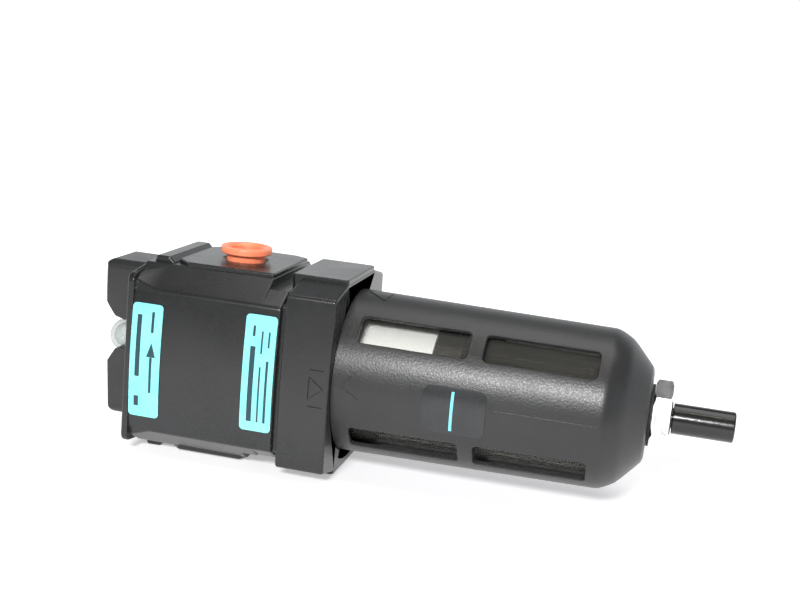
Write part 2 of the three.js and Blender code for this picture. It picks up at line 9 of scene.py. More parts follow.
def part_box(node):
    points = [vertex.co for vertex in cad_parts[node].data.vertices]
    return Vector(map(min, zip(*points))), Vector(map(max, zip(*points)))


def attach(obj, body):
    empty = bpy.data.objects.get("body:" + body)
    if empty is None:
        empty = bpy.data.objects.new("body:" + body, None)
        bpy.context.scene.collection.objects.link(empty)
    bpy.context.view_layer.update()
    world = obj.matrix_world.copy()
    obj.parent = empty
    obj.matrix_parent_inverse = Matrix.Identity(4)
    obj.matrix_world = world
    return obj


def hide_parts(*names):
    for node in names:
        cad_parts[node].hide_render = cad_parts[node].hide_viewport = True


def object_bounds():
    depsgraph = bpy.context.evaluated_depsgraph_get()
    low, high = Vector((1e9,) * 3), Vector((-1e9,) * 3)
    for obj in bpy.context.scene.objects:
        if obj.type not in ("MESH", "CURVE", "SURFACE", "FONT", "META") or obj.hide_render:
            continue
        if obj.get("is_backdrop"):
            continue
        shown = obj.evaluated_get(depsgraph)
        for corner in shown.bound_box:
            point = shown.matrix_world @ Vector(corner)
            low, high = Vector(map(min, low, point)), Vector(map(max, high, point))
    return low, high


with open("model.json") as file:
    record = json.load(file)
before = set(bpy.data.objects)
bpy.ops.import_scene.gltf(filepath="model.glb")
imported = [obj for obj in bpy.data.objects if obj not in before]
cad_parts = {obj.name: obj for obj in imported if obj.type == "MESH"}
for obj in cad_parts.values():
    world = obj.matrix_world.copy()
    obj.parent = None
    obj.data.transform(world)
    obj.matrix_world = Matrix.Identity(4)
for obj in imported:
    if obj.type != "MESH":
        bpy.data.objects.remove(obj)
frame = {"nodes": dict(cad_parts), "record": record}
LO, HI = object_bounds()
NODES = frame["nodes"]

# The detailed pieces are drawn in millimetres about the bowl axis, with X = 0 on the closed end of the head.
LENS_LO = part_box("indicator_lens")[0]
GUARD_LO, GUARD_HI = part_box("bowl_guard")
DX = LENS_LO.x * 1000 + 18.0
DZ = (GUARD_LO.z + GUARD_HI.z) * 500
if abs(DZ - 30.6) > 0.5:
    DZ = 30.6


def place(x, y, z):
    return Vector(((x + DX) / 1000, y / 1000, (z + DZ) / 1000))


# ---------------------------------------------------------------- mesh helpers (millimetres)
def new_object(name, verts, faces):
    me = bpy.data.meshes.new(name)
    me.from_pydata([tuple(v) for v in verts], [], faces)
    me.validate()
    bm = bmesh.new()
    bm.from_mesh(me)
    bmesh.ops.remove_doubles(bm, verts=bm.verts, dist=1e-4)
    bmesh.ops.dissolve_degenerate(bm, edges=bm.edges, dist=1e-5)
    bmesh.ops.recalc_face_normals(bm, faces=bm.faces)
    bm.to_mesh(me)
    bm.free()
    o = bpy.data.objects.new(name, me)
    bpy.context.scene.collection.objects.link(o)
    return o


def applied(o):
    dg = bpy.context.evaluated_depsgraph_get()
    me = bpy.data.meshes.new_from_object(o.evaluated_get(dg))
    old = o.data
    o.modifiers.clear()
    o.data = me
    bpy.data.meshes.remove(old)
    return o


def boolean(a, b, op, solver="MANIFOLD"):
    m = a.modifiers.new("b", "BOOLEAN")
    m.operation, m.object, m.solver = op, b, solver
    applied(a)
    me = b.data
    bpy.data.objects.remove(b)
    bpy.data.meshes.remove(me)
    return a


def add(a, b):
    return boolean(a, b, "UNION")


def cut(a, b):
    return boolean(a, b, "DIFFERENCE")


def common(a, b):
    return boolean(a, b, "INTERSECT")


def join(name, objs):
    bm = bmesh.new()
    for o in objs:
        bm.from_mesh(o.data)
    me = bpy.data.meshes.new(name)
    bm.to_mesh(me)
    bm.free()
    for o in objs:
        old = o.data
        bpy.data.objects.remove(o)
        bpy.data.meshes.remove(old)
    o = bpy.data.objects.new(name, me)
    bpy.context.scene.collection.objects.link(o)
    return o


def rad(d):
    return d * math.pi / 180


def fillet(pts, r, n=4, only=None):
    """Rounds the corners of a closed polygon. r is one radius or a list, one per corner."""
    out = []
    k = len(pts)
    for i in range(k):
        ri = r[i] if isinstance(r, (list, tuple)) else r
        p, a, b = Vector(pts[i]), Vector(pts[i - 1]), Vector(pts[(i + 1) % k])
        u, v = (a - p), (b - p)
        lu, lv = u.length, v.length
        u.normalize(), v.normalize()
        ang = u.angle(v) if lu > 0 and lv > 0 else math.pi
        if ri <= 0 or ang > math.pi - 0.02:
            out.append(tuple(p))
            continue
        t = min(ri / math.tan(ang / 2), 0.49 * lu, 0.49 * lv)
        ri = t * math.tan(ang / 2)
        c = p + (u + v).normalized() * (ri / math.sin(ang / 2))
        s, e = p + u * t - c, p + v * t - c
        turn = s.angle_signed(e)
        for j in range(n + 1):
            w = turn * j / n
            cs, sn = math.cos(-w), math.sin(-w)
            out.append((c.x + s.x * cs - s.y * sn, c.y + s.x * sn + s.y * cs))
    return out


def area(pts):
    return 0.5 * sum(pts[i - 1][0] * pts[i][1] - pts[i][0] * pts[i - 1][1] for i in range(len(pts)))


def inset(pts, d):
    """Moves each side of a counter-clockwise polygon inwards by d."""
    if abs(d) < 1e-9:
        return [tuple(p) for p in pts]
    out = []
    k = len(pts)
    for i in range(k):
        p, a, b = Vector(pts[i]), Vector(pts[i - 1]), Vector(pts[(i + 1) % k])
        e0, e1 = (p - a).normalized(), (b - p).normalized()
        n0, n1 = Vector((-e0.y, e0.x)), Vector((-e1.y, e1.x))
        m = n0 + n1
        m = m.normalized() if m.length > 1e-6 else n0
        out.append(tuple(p + m * (d / max(0.25, m.dot(n0)))))
    return out


def rprism(name, pts, a0, a1, r0=0.0, r1=0.0, axis="X", n=3):
    """A prism whose two end rims are rounded by r0 and r1."""
    if area(pts) < 0:
        pts = list(reversed(pts))
    rings = []
    for r, a, s in ((r0, a0, 1), (r1, a1, -1)):
        part = []
        if r > 0:
            for j in range(n + 1):
                w = math.pi / 2 * j / n
                part.append((a + s * r * (1 - math.cos(w)), inset(pts, r * (1 - math.sin(w)))))
        else:
            part.append((a, list(pts)))
        rings += part if s == 1 else list(reversed(part))
    k = len(pts)
    verts, faces = [], []
    for t, ring in rings:
        for a, b in ring:
            verts.append({"X": (t, a, b), "Y": (b, t, a), "Z": (a, b, t)}[axis])
    for j in range(len(rings) - 1):
        for i in range(k):
            faces.append((j * k + i, j * k + (i + 1) % k, (j + 1) * k + (i + 1) % k, (j + 1) * k + i))
    faces.append(tuple(reversed(range(k))))
    faces.append(tuple((len(rings) - 1) * k + i for i in range(k)))
    return new_object(name, verts, faces)


def lathe_data(profile, seg, closed=True, axis="X", at=(0, 0), t0=0.0):
    """Rings of (radius, along) points round X, or round Z through at. A radius of 0 ends in one point."""
    verts, faces, rows = [], [], []
    for r, t in profile:
        row = []
        if r < 1e-9:
            verts.append((t, 0, 0) if axis == "X" else (at[0], at[1], t))
            row = [len(verts) - 1] * seg
        else:
            for i in range(seg):
                w = 2 * math.pi * i / seg + t0
                row.append(len(verts))
                if axis == "X":
                    verts.append((t, -r * math.cos(w), r * math.sin(w)))
                else:
                    verts.append((at[0] + r * math.cos(w), at[1] + r * math.sin(w), t))
        rows.append(row)
    m = len(rows)
    for j in range(m if closed else m - 1):
        a, b = rows[j], rows[(j + 1) % m]
        for i in range(seg):
            q = [a[i], a[(i + 1) % seg], b[(i + 1) % seg], b[i]]
            q = [v for k2, v in enumerate(q) if v not in q[:k2]]
            if len(q) >= 3:
                faces.append(tuple(q))
    return verts, faces


def round_profile(pts, r, n=4):
    """Rounds the corners of a (radius, along) profile; the points on the axis stay."""
    rr = [0 if p[0] < 1e-9 else (r[i] if isinstance(r, (list, tuple)) else r) for i, p in enumerate(pts)]
    return fillet(pts, rr, n)


def lathe(name, profile, seg=64, r=0.0, n=4, axis="X", at=(0, 0), t0=0.0):
    on_axis = profile[0][0] < 1e-9 and profile[-1][0] < 1e-9
    if r:
        profile = round_profile(profile, r, n)
    v, f = lathe_data(profile, seg, not on_axis, axis, at, t0)
    return new_object(name, v, f)


def rounded_rect(a0, a1, b0, b1, r, n=5):
    pts = []
    for ca, cb, s in ((a1 - r, b0 + r, -90), (a1 - r, b1 - r, 0), (a0 + r, b1 - r, 90), (a0 + r, b0 + r, 180)):
        for i in range(n + 1):
            w = rad(s + 90 * i / n)
            pts.append((ca + r * math.cos(w), cb + r * math.sin(w)))
    return pts


def threaded_rod(name, r_out, depth, pitch, z0, z1, at, seg=48, lead=0.0, per=6, lead_z=None):
    """A solid rod about Z whose side carries a V thread; lead widens its outer end to a chamfer at lead_z."""
    rows = max(2, int(round((z1 - z0) / pitch * per)))
    verts, faces = [], []
    for j in range(rows + 1):
        z = z0 + (z1 - z0) * j / rows
        for i in range(seg):
            w = 2 * math.pi * i / seg
            ph = (z / pitch + i / seg) % 1.0
            tri = 1 - abs(2 * ph - 1)
            tri = min(1.0, max(0.0, (tri - 0.12) / 0.76))
            r = r_out - depth * tri
            if lead and lead_z is not None:
                r = max(r, lead - abs(z - lead_z))
            verts.append((at[0] + r * math.cos(w), at[1] + r * math.sin(w), z))
    for j in range(rows):
        for i in range(seg):
            faces.append((j * seg + i, j * seg + (i + 1) % seg, (j + 1) * seg + (i + 1) % seg, (j + 1) * seg + i))
    faces.append(tuple(reversed(range(seg))))
    faces.append(tuple(rows * seg + i for i in range(seg)))
    return new_object(name, verts, faces)


def settle(o, body, material, nodes=(), angle=32, weighted=True):
    """Moves a finished millimetre mesh into the row frame and makes it a piece."""
    me = o.data
    bm = bmesh.new()
    bm.from_mesh(me)
    bmesh.ops.remove_doubles(bm, verts=bm.verts, dist=2e-4)
    bmesh.ops.dissolve_degenerate(bm, edges=bm.edges, dist=1e-5)
    loose = [v for v in bm.verts if not v.link_faces]
    bmesh.ops.delete(bm, geom=loose, context="VERTS")
    limit = rad(angle)
    for f in bm.faces:
        f.smooth = True
    for e in bm.edges:
        if len(e.link_faces) == 2:
            e.smooth = e.calc_face_angle(0.0) < limit
        else:
            e.smooth = False
    for v in bm.verts:
        v.co = place(*v.co)
    bm.to_mesh(me)
    bm.free()
    if weighted:
        m = o.modifiers.new("weighted", "WEIGHTED_NORMAL")
        m.mode, m.weight, m.keep_sharp = "FACE_AREA_WITH_ANGLE", 50, True
    me.materials.clear()
    me.materials.append(material)
    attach(o, body)
    if nodes:
        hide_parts(*nodes)
    return o


# ---------------------------------------------------------------- materials
class Mat:
    def __init__(self, name):
        self.mat = bpy.data.materials.new(name)
        self.mat.use_nodes = True
        self.nt = self.mat.node_tree
        self.nt.nodes.clear()
        self.out = self.nt.nodes.new("ShaderNodeOutputMaterial")
        self.bsdf = self.nt.nodes.new("ShaderNodeBsdfPrincipled")
        self.nt.links.new(self.bsdf.outputs["BSDF"], self.out.inputs["Surface"])
        self.coord = self.nt.nodes.new("ShaderNodeTexCoord").outputs["Object"]

    def set(self, **kw):
        for k, v in kw.items():
            self.bsdf.inputs[k.replace("_", " ")].default_value = v
        return self

    def node(self, kind, **kw):
        n = self.nt.nodes.new(kind)
        for k, v in kw.items():
            setattr(n, k, v)
        return n

    def link(self, a, b):
        self.nt.links.new(a, b)

    def value(self, x):
        return x

    def feed(self, socket, x):
        if isinstance(x, (int, float)):
            socket.default_value = x
        elif isinstance(x, (tuple, list)):
            socket.default_value = x
        else:
            self.link(x, socket)

    def math(self, op, a, b=None, c=None, clamp=False):
        n = self.node("ShaderNodeMath", operation=op, use_clamp=clamp)
        self.feed(n.inputs[0], a)
        if b is not None:
            self.feed(n.inputs[1], b)
        if c is not None:
            self.feed(n.inputs[2], c)
        return n.outputs[0]

    def noise(self, scale, detail=2.0, rough=0.5, vec=None, distortion=0.0):
        n = self.node("ShaderNodeTexNoise")
        self.link(vec or self.coord, n.inputs["Vector"])
        n.inputs["Scale"].default_value = scale
        n.inputs["Detail"].default_value = detail
        n.inputs["Roughness"].default_value = rough
        n.inputs["Distortion"].default_value = distortion
        return n.outputs["Fac"]

    def voronoi(self, scale, vec=None, feature="F1", out="Distance"):
        n = self.node("ShaderNodeTexVoronoi", feature=feature)
        self.link(vec or self.coord, n.inputs["Vector"])
        n.inputs["Scale"].default_value = scale
        return n.outputs[out]

    def stretch(self, sx, sy, sz):
        n = self.node("ShaderNodeMapping")
        self.link(self.coord, n.inputs["Vector"])
        n.inputs["Scale"].default_value = (sx, sy, sz)
        return n.outputs["Vector"]

    def ramp(self, fac, a, b, lo=0.0, hi=1.0):
        n = self.node("ShaderNodeMapRange", clamp=True)
        self.link(fac, n.inputs["Value"])
        for k, v in (("From Min", a), ("From Max", b), ("To Min", lo), ("To Max", hi)):
            n.inputs[k].default_value = v
        return n.outputs["Result"]

    def mix(self, fac, a, b):
        n = self.node("ShaderNodeMix", data_type="RGBA")
        self.feed(n.inputs["Factor"], fac)
        self.feed(n.inputs["A"] if False else n.inputs[6], a)
        self.feed(n.inputs[7], b)
        return n.outputs[2]

    def bump(self, height, distance, strength=1.0, normal=None):
        n = self.node("ShaderNodeBump")
        n.inputs["Strength"].default_value = strength
        n.inputs["Distance"].default_value = distance
        self.link(height, n.inputs["Height"])
        if normal is not None:
            self.link(normal, n.inputs["Normal"])
        return n.outputs["Normal"]

    def to(self, name, x):
        self.feed(self.bsdf.inputs[name], x)
        return self

    def axes(self):
        n = self.node("ShaderNodeSeparateXYZ")
        self.link(self.coord, n.inputs[0])
        return n.outputs[0], n.outputs[1], n.outputs[2]


def rgb(r, g, b):
    def lin(c):
        c /= 255
        return c / 12.92 if c <= 0.04045 else ((c + 0.055) / 1.055) ** 2.4
    return (lin(r), lin(g), lin(b), 1.0)


def worn(m, base, light, amount=0.5, scale=900):
    """Base colour with cloudy variation and a fine speckle."""
    cloud = m.noise(70, 4, 0.6)
    fine = m.noise(scale, 3, 0.6)
    col = m.mix(m.ramp(cloud, 0.3, 0.7), base, light)
    m.to("Base Color", m.mix(m.ramp(fine, 0.5, 0.8, 0.0, amount * 0.6), col, light))
    return cloud, fine


def make_materials():
    M = {}
    # black enamel over cast aluminium: satin, a little orange peel
    m = Mat("cast_black")
    cloud, fine = worn(m, (0.0105, 0.011, 0.0118, 1), (0.015, 0.0155, 0.0163, 1), 0.25)
    m.to("Roughness", m.math("ADD", m.ramp(cloud, 0.25, 0.75, 0.24, 0.31), m.ramp(fine, 0.3, 0.7, -0.01, 0.02)))
    peel = m.noise(620, 2, 0.5)
    m.to("Normal", m.bump(fine, 0.000006, 0.3, m.bump(peel, 0.00002, 0.25)))
    m.set(Specular_IOR_Level=0.55)
    M["cast_black"] = m.mat
    # moulded black nylon of the guard: finely grained
    m = Mat("guard_black")
    grain = m.voronoi(1500)
    cloud = m.noise(45, 4, 0.6)
    speck = m.noise(2600, 2, 0.7)
    col = m.mix(m.ramp(cloud, 0.3, 0.7), (0.015, 0.0155, 0.0163, 1), (0.021, 0.0215, 0.0225, 1))
    m.to("Base Color", m.mix(m.ramp(speck, 0.55, 0.75, 0, 0.25), col, (0.055, 0.055, 0.057, 1)))
    m.to("Roughness", m.math("ADD", m.ramp(cloud, 0.2, 0.8, 0.32, 0.38), m.ramp(grain, 0.1, 0.6, -0.03, 0.05)))
    m.to("Normal", m.bump(grain, 0.00006, 0.45, m.bump(speck, 0.00004, 0.4)))
    M["guard_black"] = m.mat
    # plainer moulded plastics
    for name, base, light, rough in (
        ("housing_black", (0.017, 0.0175, 0.0185, 1), (0.026, 0.0265, 0.0275, 1), 0.34),
        ("element_black", (0.014, 0.014, 0.0145, 1), (0.022, 0.022, 0.0225, 1), 0.32),
        ("stem_black", (0.010, 0.0103, 0.0105, 1), (0.016, 0.0163, 0.0165, 1), 0.16),
    ):
        m = Mat(name)
        cloud = m.noise(90, 4, 0.6)
        fine = m.noise(1700, 2, 0.6)
        m.to("Base Color", m.mix(m.ramp(cloud, 0.3, 0.7), base, light))
        m.to("Roughness", m.math("ADD", m.ramp(cloud, 0.25, 0.75, rough - 0.03, rough + 0.05), m.ramp(fine, 0.3, 0.7, -0.02, 0.03)))
        m.to("Normal", m.bump(fine, 0.00003, 0.4))
        M[name] = m.mat
    # rubber
    m = Mat("seal_rubber")
    cloud = m.noise(400, 3, 0.6)
    m.to("Base Color", m.mix(m.ramp(cloud, 0.3, 0.7), (0.012, 0.012, 0.012, 1), (0.028, 0.028, 0.028, 1)))
    m.to("Roughness", m.ramp(cloud, 0.3, 0.7, 0.6, 0.75))
    m.to("Normal", m.bump(cloud, 0.00003, 0.5))
    M["seal_rubber"] = m.mat
    # orange shipping plug: soft polyethylene, slightly waxy
    m = Mat("plug_orange")
    cloud = m.noise(160, 3, 0.55)
    fine = m.noise(1500, 2, 0.6)
    m.to("Base Color", m.mix(m.ramp(cloud, 0.3, 0.7), (0.97, 0.245, 0.12, 1), (0.99, 0.31, 0.165, 1)))
    m.to("Roughness", m.ramp(fine, 0.3, 0.7, 0.30, 0.42))
    m.to("Normal", m.bump(fine, 0.00003, 0.4))
    m.set(Subsurface_Weight=0.25, Subsurface_Radius=(1.0, 0.35, 0.15), Subsurface_Scale=0.0012)
    M["plug_orange"] = m.mat
    # metals
    for name, base, light, rough, aniso in (
        ("spring_steel", (0.50, 0.50, 0.51, 1), (0.62, 0.62, 0.63, 1), 0.28, 0),
        ("screw_steel", (0.45, 0.45, 0.46, 1), (0.60, 0.60, 0.61, 1), 0.30, 0),
        ("core_steel", (0.50, 0.49, 0.47, 1), (0.62, 0.61, 0.58, 1), 0.35, 0),
    ):
        m = Mat(name)
        cloud = m.noise(300, 3, 0.6)
        fine = m.noise(3000, 2, 0.6)
        m.to("Base Color", m.mix(m.ramp(cloud, 0.3, 0.7), base, light))
        m.to("Roughness", m.ramp(fine, 0.3, 0.7, rough - 0.06, rough + 0.08))
        m.to("Normal", m.bump(fine, 0.00002, 0.4))
        m.set(Metallic=1.0)
        M[name] = m.mat
    m = Mat("nut_nickel")
    lines = m.noise(1, 3, 0.6, m.stretch(5200, 260, 260))
    cloud = m.noise(200, 3, 0.6)
    m.to("Base Color", m.mix(m.ramp(cloud, 0.3, 0.7), (0.90, 0.895, 0.885, 1), (0.96, 0.955, 0.945, 1)))
    m.to("Roughness", m.math("ADD", m.ramp(cloud, 0.3, 0.7, 0.17, 0.24), m.ramp(lines, 0.3, 0.7, -0.03, 0.06)))
    m.to("Normal", m.bump(lines, 0.00001, 0.35))
    m.set(Metallic=1.0)
    M["nut_nickel"] = m.mat
    # filter media: felted white fibre
    for name, base, dark in (
        ("sleeve_white", (0.97, 0.975, 0.955, 1), (0.86, 0.86, 0.83, 1)),
        ("media_white", (0.80, 0.79, 0.75, 1), (0.62, 0.61, 0.56, 1)),
    ):
        m = Mat(name)
        pores = m.voronoi(1900)
        fibre = m.noise(1, 4, 0.65, m.stretch(420, 2400, 2400))
        cloud = m.noise(150, 3, 0.6)
        shade = m.math("MULTIPLY", m.ramp(pores, 0.05, 0.45, 0.35, 0.0), m.ramp(cloud, 0.3, 0.7, 0.6, 1.0))
        m.to("Base Color", m.mix(shade, base, dark))
        m.set(Roughness=0.9, Sheen_Weight=0.25, Sheen_Roughness=0.5)
        m.to("Normal", m.bump(fibre, 0.00016, 0.5, m.bump(pores, 0.0002, 0.45)))
        M[name] = m.mat
    # green signal piston
    m = Mat("indicator_green")
    fine = m.noise(1500, 2, 0.6)
    m.to("Base Color", m.mix(m.ramp(fine, 0.3, 0.7), (0.02, 0.30, 0.06, 1), (0.03, 0.36, 0.08, 1)))
    m.to("Roughness", m.ramp(fine, 0.3, 0.7, 0.30, 0.40))
    M["indicator_green"] = m.mat
    return M


def clear(name, tint, haze, edge, rough=0.06):
    """Thin clear moulding: what is behind shows through, with a surface gloss that rises towards the edges and faint haze."""
    m = Mat(name)
    nt = m.nt
    m.set(Base_Color=haze, Roughness=rough, Specular_IOR_Level=0.5)
    streak = m.noise(1, 3, 0.6, m.stretch(60, 900, 900))
    fine = m.noise(900, 2, 0.6)
    m.to("Normal", m.bump(fine, 0.00002, 0.25))
    m.to("Roughness", m.ramp(streak, 0.3, 0.7, rough, rough + 0.06))
    see = m.node("ShaderNodeBsdfTransparent")
    see.inputs["Color"].default_value = tint
    lw = m.node("ShaderNodeLayerWeight")
    lw.inputs["Blend"].default_value = 0.25
    fac = m.ramp(lw.outputs["Facing"], 0.0, 1.0, edge[0], edge[1])
    fac = m.math("ADD", fac, m.ramp(streak, 0.35, 0.75, 0.0, 0.03), clamp=True)
    mix = m.node("ShaderNodeMixShader")
    m.link(fac, mix.inputs[0])
    m.link(see.outputs[0], mix.inputs[1])
    m.link(m.bsdf.outputs[0], mix.inputs[2])
    m.link(mix.outputs[0], m.out.inputs["Surface"])
    return m.mat


def rects_mask(m, ax, az, rects, soft=0.00004):
    """1 inside any of the rectangles, given as centre and half size along two axes, in millimetres."""
    total = None
    for cx, cz, hx, hz in rects:
        dx = m.math("SUBTRACT", m.math("ABSOLUTE", m.math("SUBTRACT", ax, (cx + DX) / 1000)), hx / 1000)
        dz = m.math("SUBTRACT", m.math("ABSOLUTE", m.math("SUBTRACT", az, (cz + DZ) / 1000)), hz / 1000)
        inside = m.ramp(m.math("MAXIMUM", dx, dz), -soft, soft, 1.0, 0.0)
        total = inside if total is None else m.math("MAXIMUM", total, inside)
    return total


def triangle_mask(m, ax, az, tip, base, half, soft=0.00004):
    """1 inside a triangle whose tip points along +Z or -Z: tip and base are (x, z), half is half of its foot."""
    h = (base[1] - tip[1]) / 1000
    t = m.math("DIVIDE", m.math("SUBTRACT", az, (tip[1] + DZ) / 1000), h)
    width = m.math("MULTIPLY", t, half / 1000)
    dx = m.math("SUBTRACT", m.math("ABSOLUTE", m.math("SUBTRACT", ax, (tip[0] + DX) / 1000)), width)
    a = m.ramp(dx, -soft, soft, 1.0, 0.0)
    b = m.math("MULTIPLY", m.ramp(t, 0.0, 0.02), m.ramp(t, 0.98, 1.0, 1.0, 0.0))
    return m.math("MULTIPLY", a, b)


def label_material(name, rects, arrow=None):
    m = Mat(name)
    ax, ay, az = m.axes()
    print_mask = rects_mask(m, ax, az, rects)
    if arrow:
        print_mask = m.math("MAXIMUM", print_mask, triangle_mask(m, ax, az, *arrow))
    cloud = m.noise(110, 4, 0.6)
    speck = m.noise(2600, 2, 0.6)
    paper = m.mix(m.ramp(cloud, 0.3, 0.7), rgb(122, 222, 228), rgb(138, 232, 237))
    ink = m.mix(m.ramp(speck, 0.35, 0.7), rgb(18, 46, 56), rgb(34, 70, 80))
    m.to("Base Color", m.mix(print_mask, paper, ink))
    m.to("Roughness", m.math("ADD", m.ramp(speck, 0.3, 0.7, 0.30, 0.38), m.math("MULTIPLY", print_mask, 0.08)))
    m.to("Normal", m.bump(speck, 0.00002, 0.35))
    return m.mat


MAT = make_materials()
MAT["clear_bowl"] = clear("clear_bowl", (0.99, 0.99, 0.985, 1), (0.20, 0.20, 0.18, 1), (0.045, 0.46))
MAT["clear_plastic"] = clear("clear_plastic", (0.93, 0.95, 0.94, 1), (0.46, 0.49, 0.48, 1), (0.20, 0.85))


# ---------------------------------------------------------------- head
FRONT_Y, FRONT_CROWN, FRONT_Z = 28.28, 1.38, 22.1
IND_Z, LENS_R, SCREW_Z = -0.4, 5.0, (18.2, -16.8)


def crowned(y, c, zh, flat_y, top, r_front=2.0, r_top=0.9, n=12):
    """Closed (Y, Z) section, crowned at front and back, with rounded corners."""
    half = [(-flat_y, top)]
    radii = [r_top]
    for i in range(n + 1):
        z = zh - 2 * zh * i / n
        half.append((-(y - c * (z / zh) ** 2), z))
        radii.append(r_front if i in (0, n) else 0)
    half.append((-flat_y, -top))
    radii.append(r_top)
    back = [(-a, b) for a, b in reversed(half)]
    return fillet(half + back, radii + list(reversed(radii)), 5)


def hull(slices):
    """Convex hull of (x, outline) slices."""
    bm = bmesh.new()
    for x, pts in slices:
        for a, b in pts:
            bm.verts.new((x, a, b))
    got = bmesh.ops.convex_hull(bm, input=bm.verts)
    loose = [v for v in bm.verts if not v.link_faces]
    bmesh.ops.delete(bm, geom=loose, context="VERTS")
    bmesh.ops.recalc_face_normals(bm, faces=bm.faces)
    me = bpy.data.meshes.new("hull")
    bm.to_mesh(me)
    bm.free()
    o = bpy.data.objects.new("hull", me)
    bpy.context.scene.collection.objects.link(o)
    return o


def build_head():
    h = rprism("filter_head_cast", crowned(FRONT_Y, FRONT_CROWN, FRONT_Z, 17.4, 28.7), 1.2, 42.4, 0, 0.5)
    step = rprism("t", [(37.4, -33), (45.0, -33), (45.0, 33), (37.4, 33)], -33, -26.0, 0, 0, "Z")
    h = cut(h, step)
    h = add(h, rprism("t", crowned(FRONT_Y, FRONT_CROWN, FRONT_Z, 20.4, 26.0), 36.6, 48.5, 0, 0.8))
    plate = [(-10, 28.5), (-28.0, 26.2), (-28.0, -26.2), (-10, -28.5), (10, -28.5), (28.0, -26.2), (28.0, 26.2), (10, 28.5)]
    h = add(h, rprism("t", fillet(plate, [0, 2.6, 2.6, 0, 0, 2.6, 2.6, 0], 6), 0, 2.0, 0.5, 0.3))
    # the body flares into the corners of the end plate
    near = [(-17.4, 27.9), (-23.0, 26.2), (-25.8, 24.6)] + [(-(FRONT_Y - FRONT_CROWN * (z / FRONT_Z) ** 2), z) for z in (FRONT_Z - 0.6, 15, 7.5, 0, -7.5, -15, 0.6 - FRONT_Z)] + [(-25.8, -24.6), (-23.0, -26.2), (-17.4, -27.9)]
    near += [(-a, b) for a, b in reversed(near)]
    near = fillet(near, [0, 0, 1.2] + [0] * 7 + [1.2, 0, 0, 0, 0, 1.2] + [0] * 7 + [1.2, 0, 0], 4)
    h = add(h, hull([(1.9, near), (8.8, crowned(FRONT_Y, FRONT_CROWN, FRONT_Z, 17.4, 28.6))]))
    h = add(h, rprism("t", crowned(26.2, 0.8, 22.6, 14.5, 26.0, 1.0, 0.6), 47.6, 50.9))
    pad = [(9.8, -12.6), (14.6, -17.4), (42.2, -16.6), (42.2, 15.6), (37.6, 18.0), (14.6, 18.0), (9.8, 13.0)]
    pad = fillet(pad, 0.9, 4)
    pad_in = fillet([(9.8, -12.6), (14.6, -17.2), (35.2, -17.0), (36.8, -13.6), (36.8, 13.6), (35.2, 17.6), (14.6, 18.0), (9.8, 13.0)], 0.9, 4)
    for s in (1, -1):
        z = sorted((26.0 * s, 30.0 * s))
        h = add(h, rprism("t", pad if s > 0 else pad_in, z[0], z[1], 0 if s > 0 else 0.55, 0.55 if s > 0 else 0, "Z", 4))
        ridge = [(27.0, 2.2), (30.6, 3.4), (30.6, 7.6), (28.9, 9.3), (27.0, 9.3)]
        ridge = [(s * a, b) for a, b in ridge]
        ridge = fillet(ridge, [0.0, 0.7, 0.7, 0.3, 0.0], 4)
        h = add(h, rprism("t", ridge, -15.6, 16.2, 0.6, 0.6, "Y", 4))
    # collar
    c = rprism("c", crowned(28.2, 1.4, 26.6, 14.9, 29.4, 1.5, 0.8), 49.9, 65.1, 0.7, 0.9, "X", 4)
    for s in (1, -1):
        z = sorted((25.5 * s, 30.6 * s))
        xy = fillet([(48.0, -14.6), (64.0, -14.6), (64.8, -13.8), (64.8, 14.8), (64.0, 15.6), (48.0, 15.6), (47.2, 14.8), (47.2, -13.8)], 0.5, 3)
        c = add(c, rprism("t", xy, z[0], z[1], 0 if s > 0 else 0.45, 0.45 if s > 0 else 0, "Z", 3))
    # alignment mark engraved in the collar's front: a plain arrow head between two bars
    def bar(p, q, w=0.32, depth=0.42):
        (x0, z0), (x1, z1) = p, q
        d = Vector((x1 - x0, z1 - z0)).normalized()
        nrm = Vector((-d.y, d.x)) * w / 2
        a, b = Vector((x0, z0)), Vector((x1, z1))
        pts = [(v.y, v.x) for v in (a + nrm, b + nrm, b - nrm, a - nrm)]
        return rprism("t", pts, -29.5, -28.2 + depth, axis="Y")
    for p, q in (((59.0, 3.4), (63.4, 0.0)), ((59.0, -3.4), (63.4, 0.0)), ((59.0, -3.5), (59.0, 3.5)), ((59.0, 5.6), (63.4, 5.6)), ((59.0, -5.6), (63.4, -5.6))):
        c = cut(c, bar(p, q))
    h = add(h, c)
    # chambers, bowl socket and bayonet track
    h = cut(h, lathe("t", [(9.6, 19.5), (19.5, 19.5), (19.5, 46.5), (9.6, 46.5)], 64))
    h = cut(h, lathe("t", [(9.6, 46.0), (21.6, 46.0), (21.6, 54.01), (9.6, 54.01)], 96))
    h = cut(h, lathe("t", [(9.6, 54.0), (25.66, 54.0), (25.66, 64.85), (25.95, 65.2), (25.95, 70.0), (9.6, 70.0)], 128))
    for a in (90, 270):
        for t0, t1, x1 in ((a - 45 - 18, a + 23, 60.1), (a - 23, a + 23, 68.0)):
            pts = [(-24.5 * math.cos(rad(t0 + (t1 - t0) * i / 24)), 24.5 * math.sin(rad(t0 + (t1 - t0) * i / 24))) for i in range(25)]
            pts += [(-28.4 * math.cos(rad(t1 + (t0 - t1) * i / 24)), 28.4 * math.sin(rad(t1 + (t0 - t1) * i / 24))) for i in range(25)]
            pts = fillet(pts, [0] * 25 + [0.6] + [0] * 23 + [0.6], 3)
            h = cut(h, rprism("t", pts, 54.0, x1))
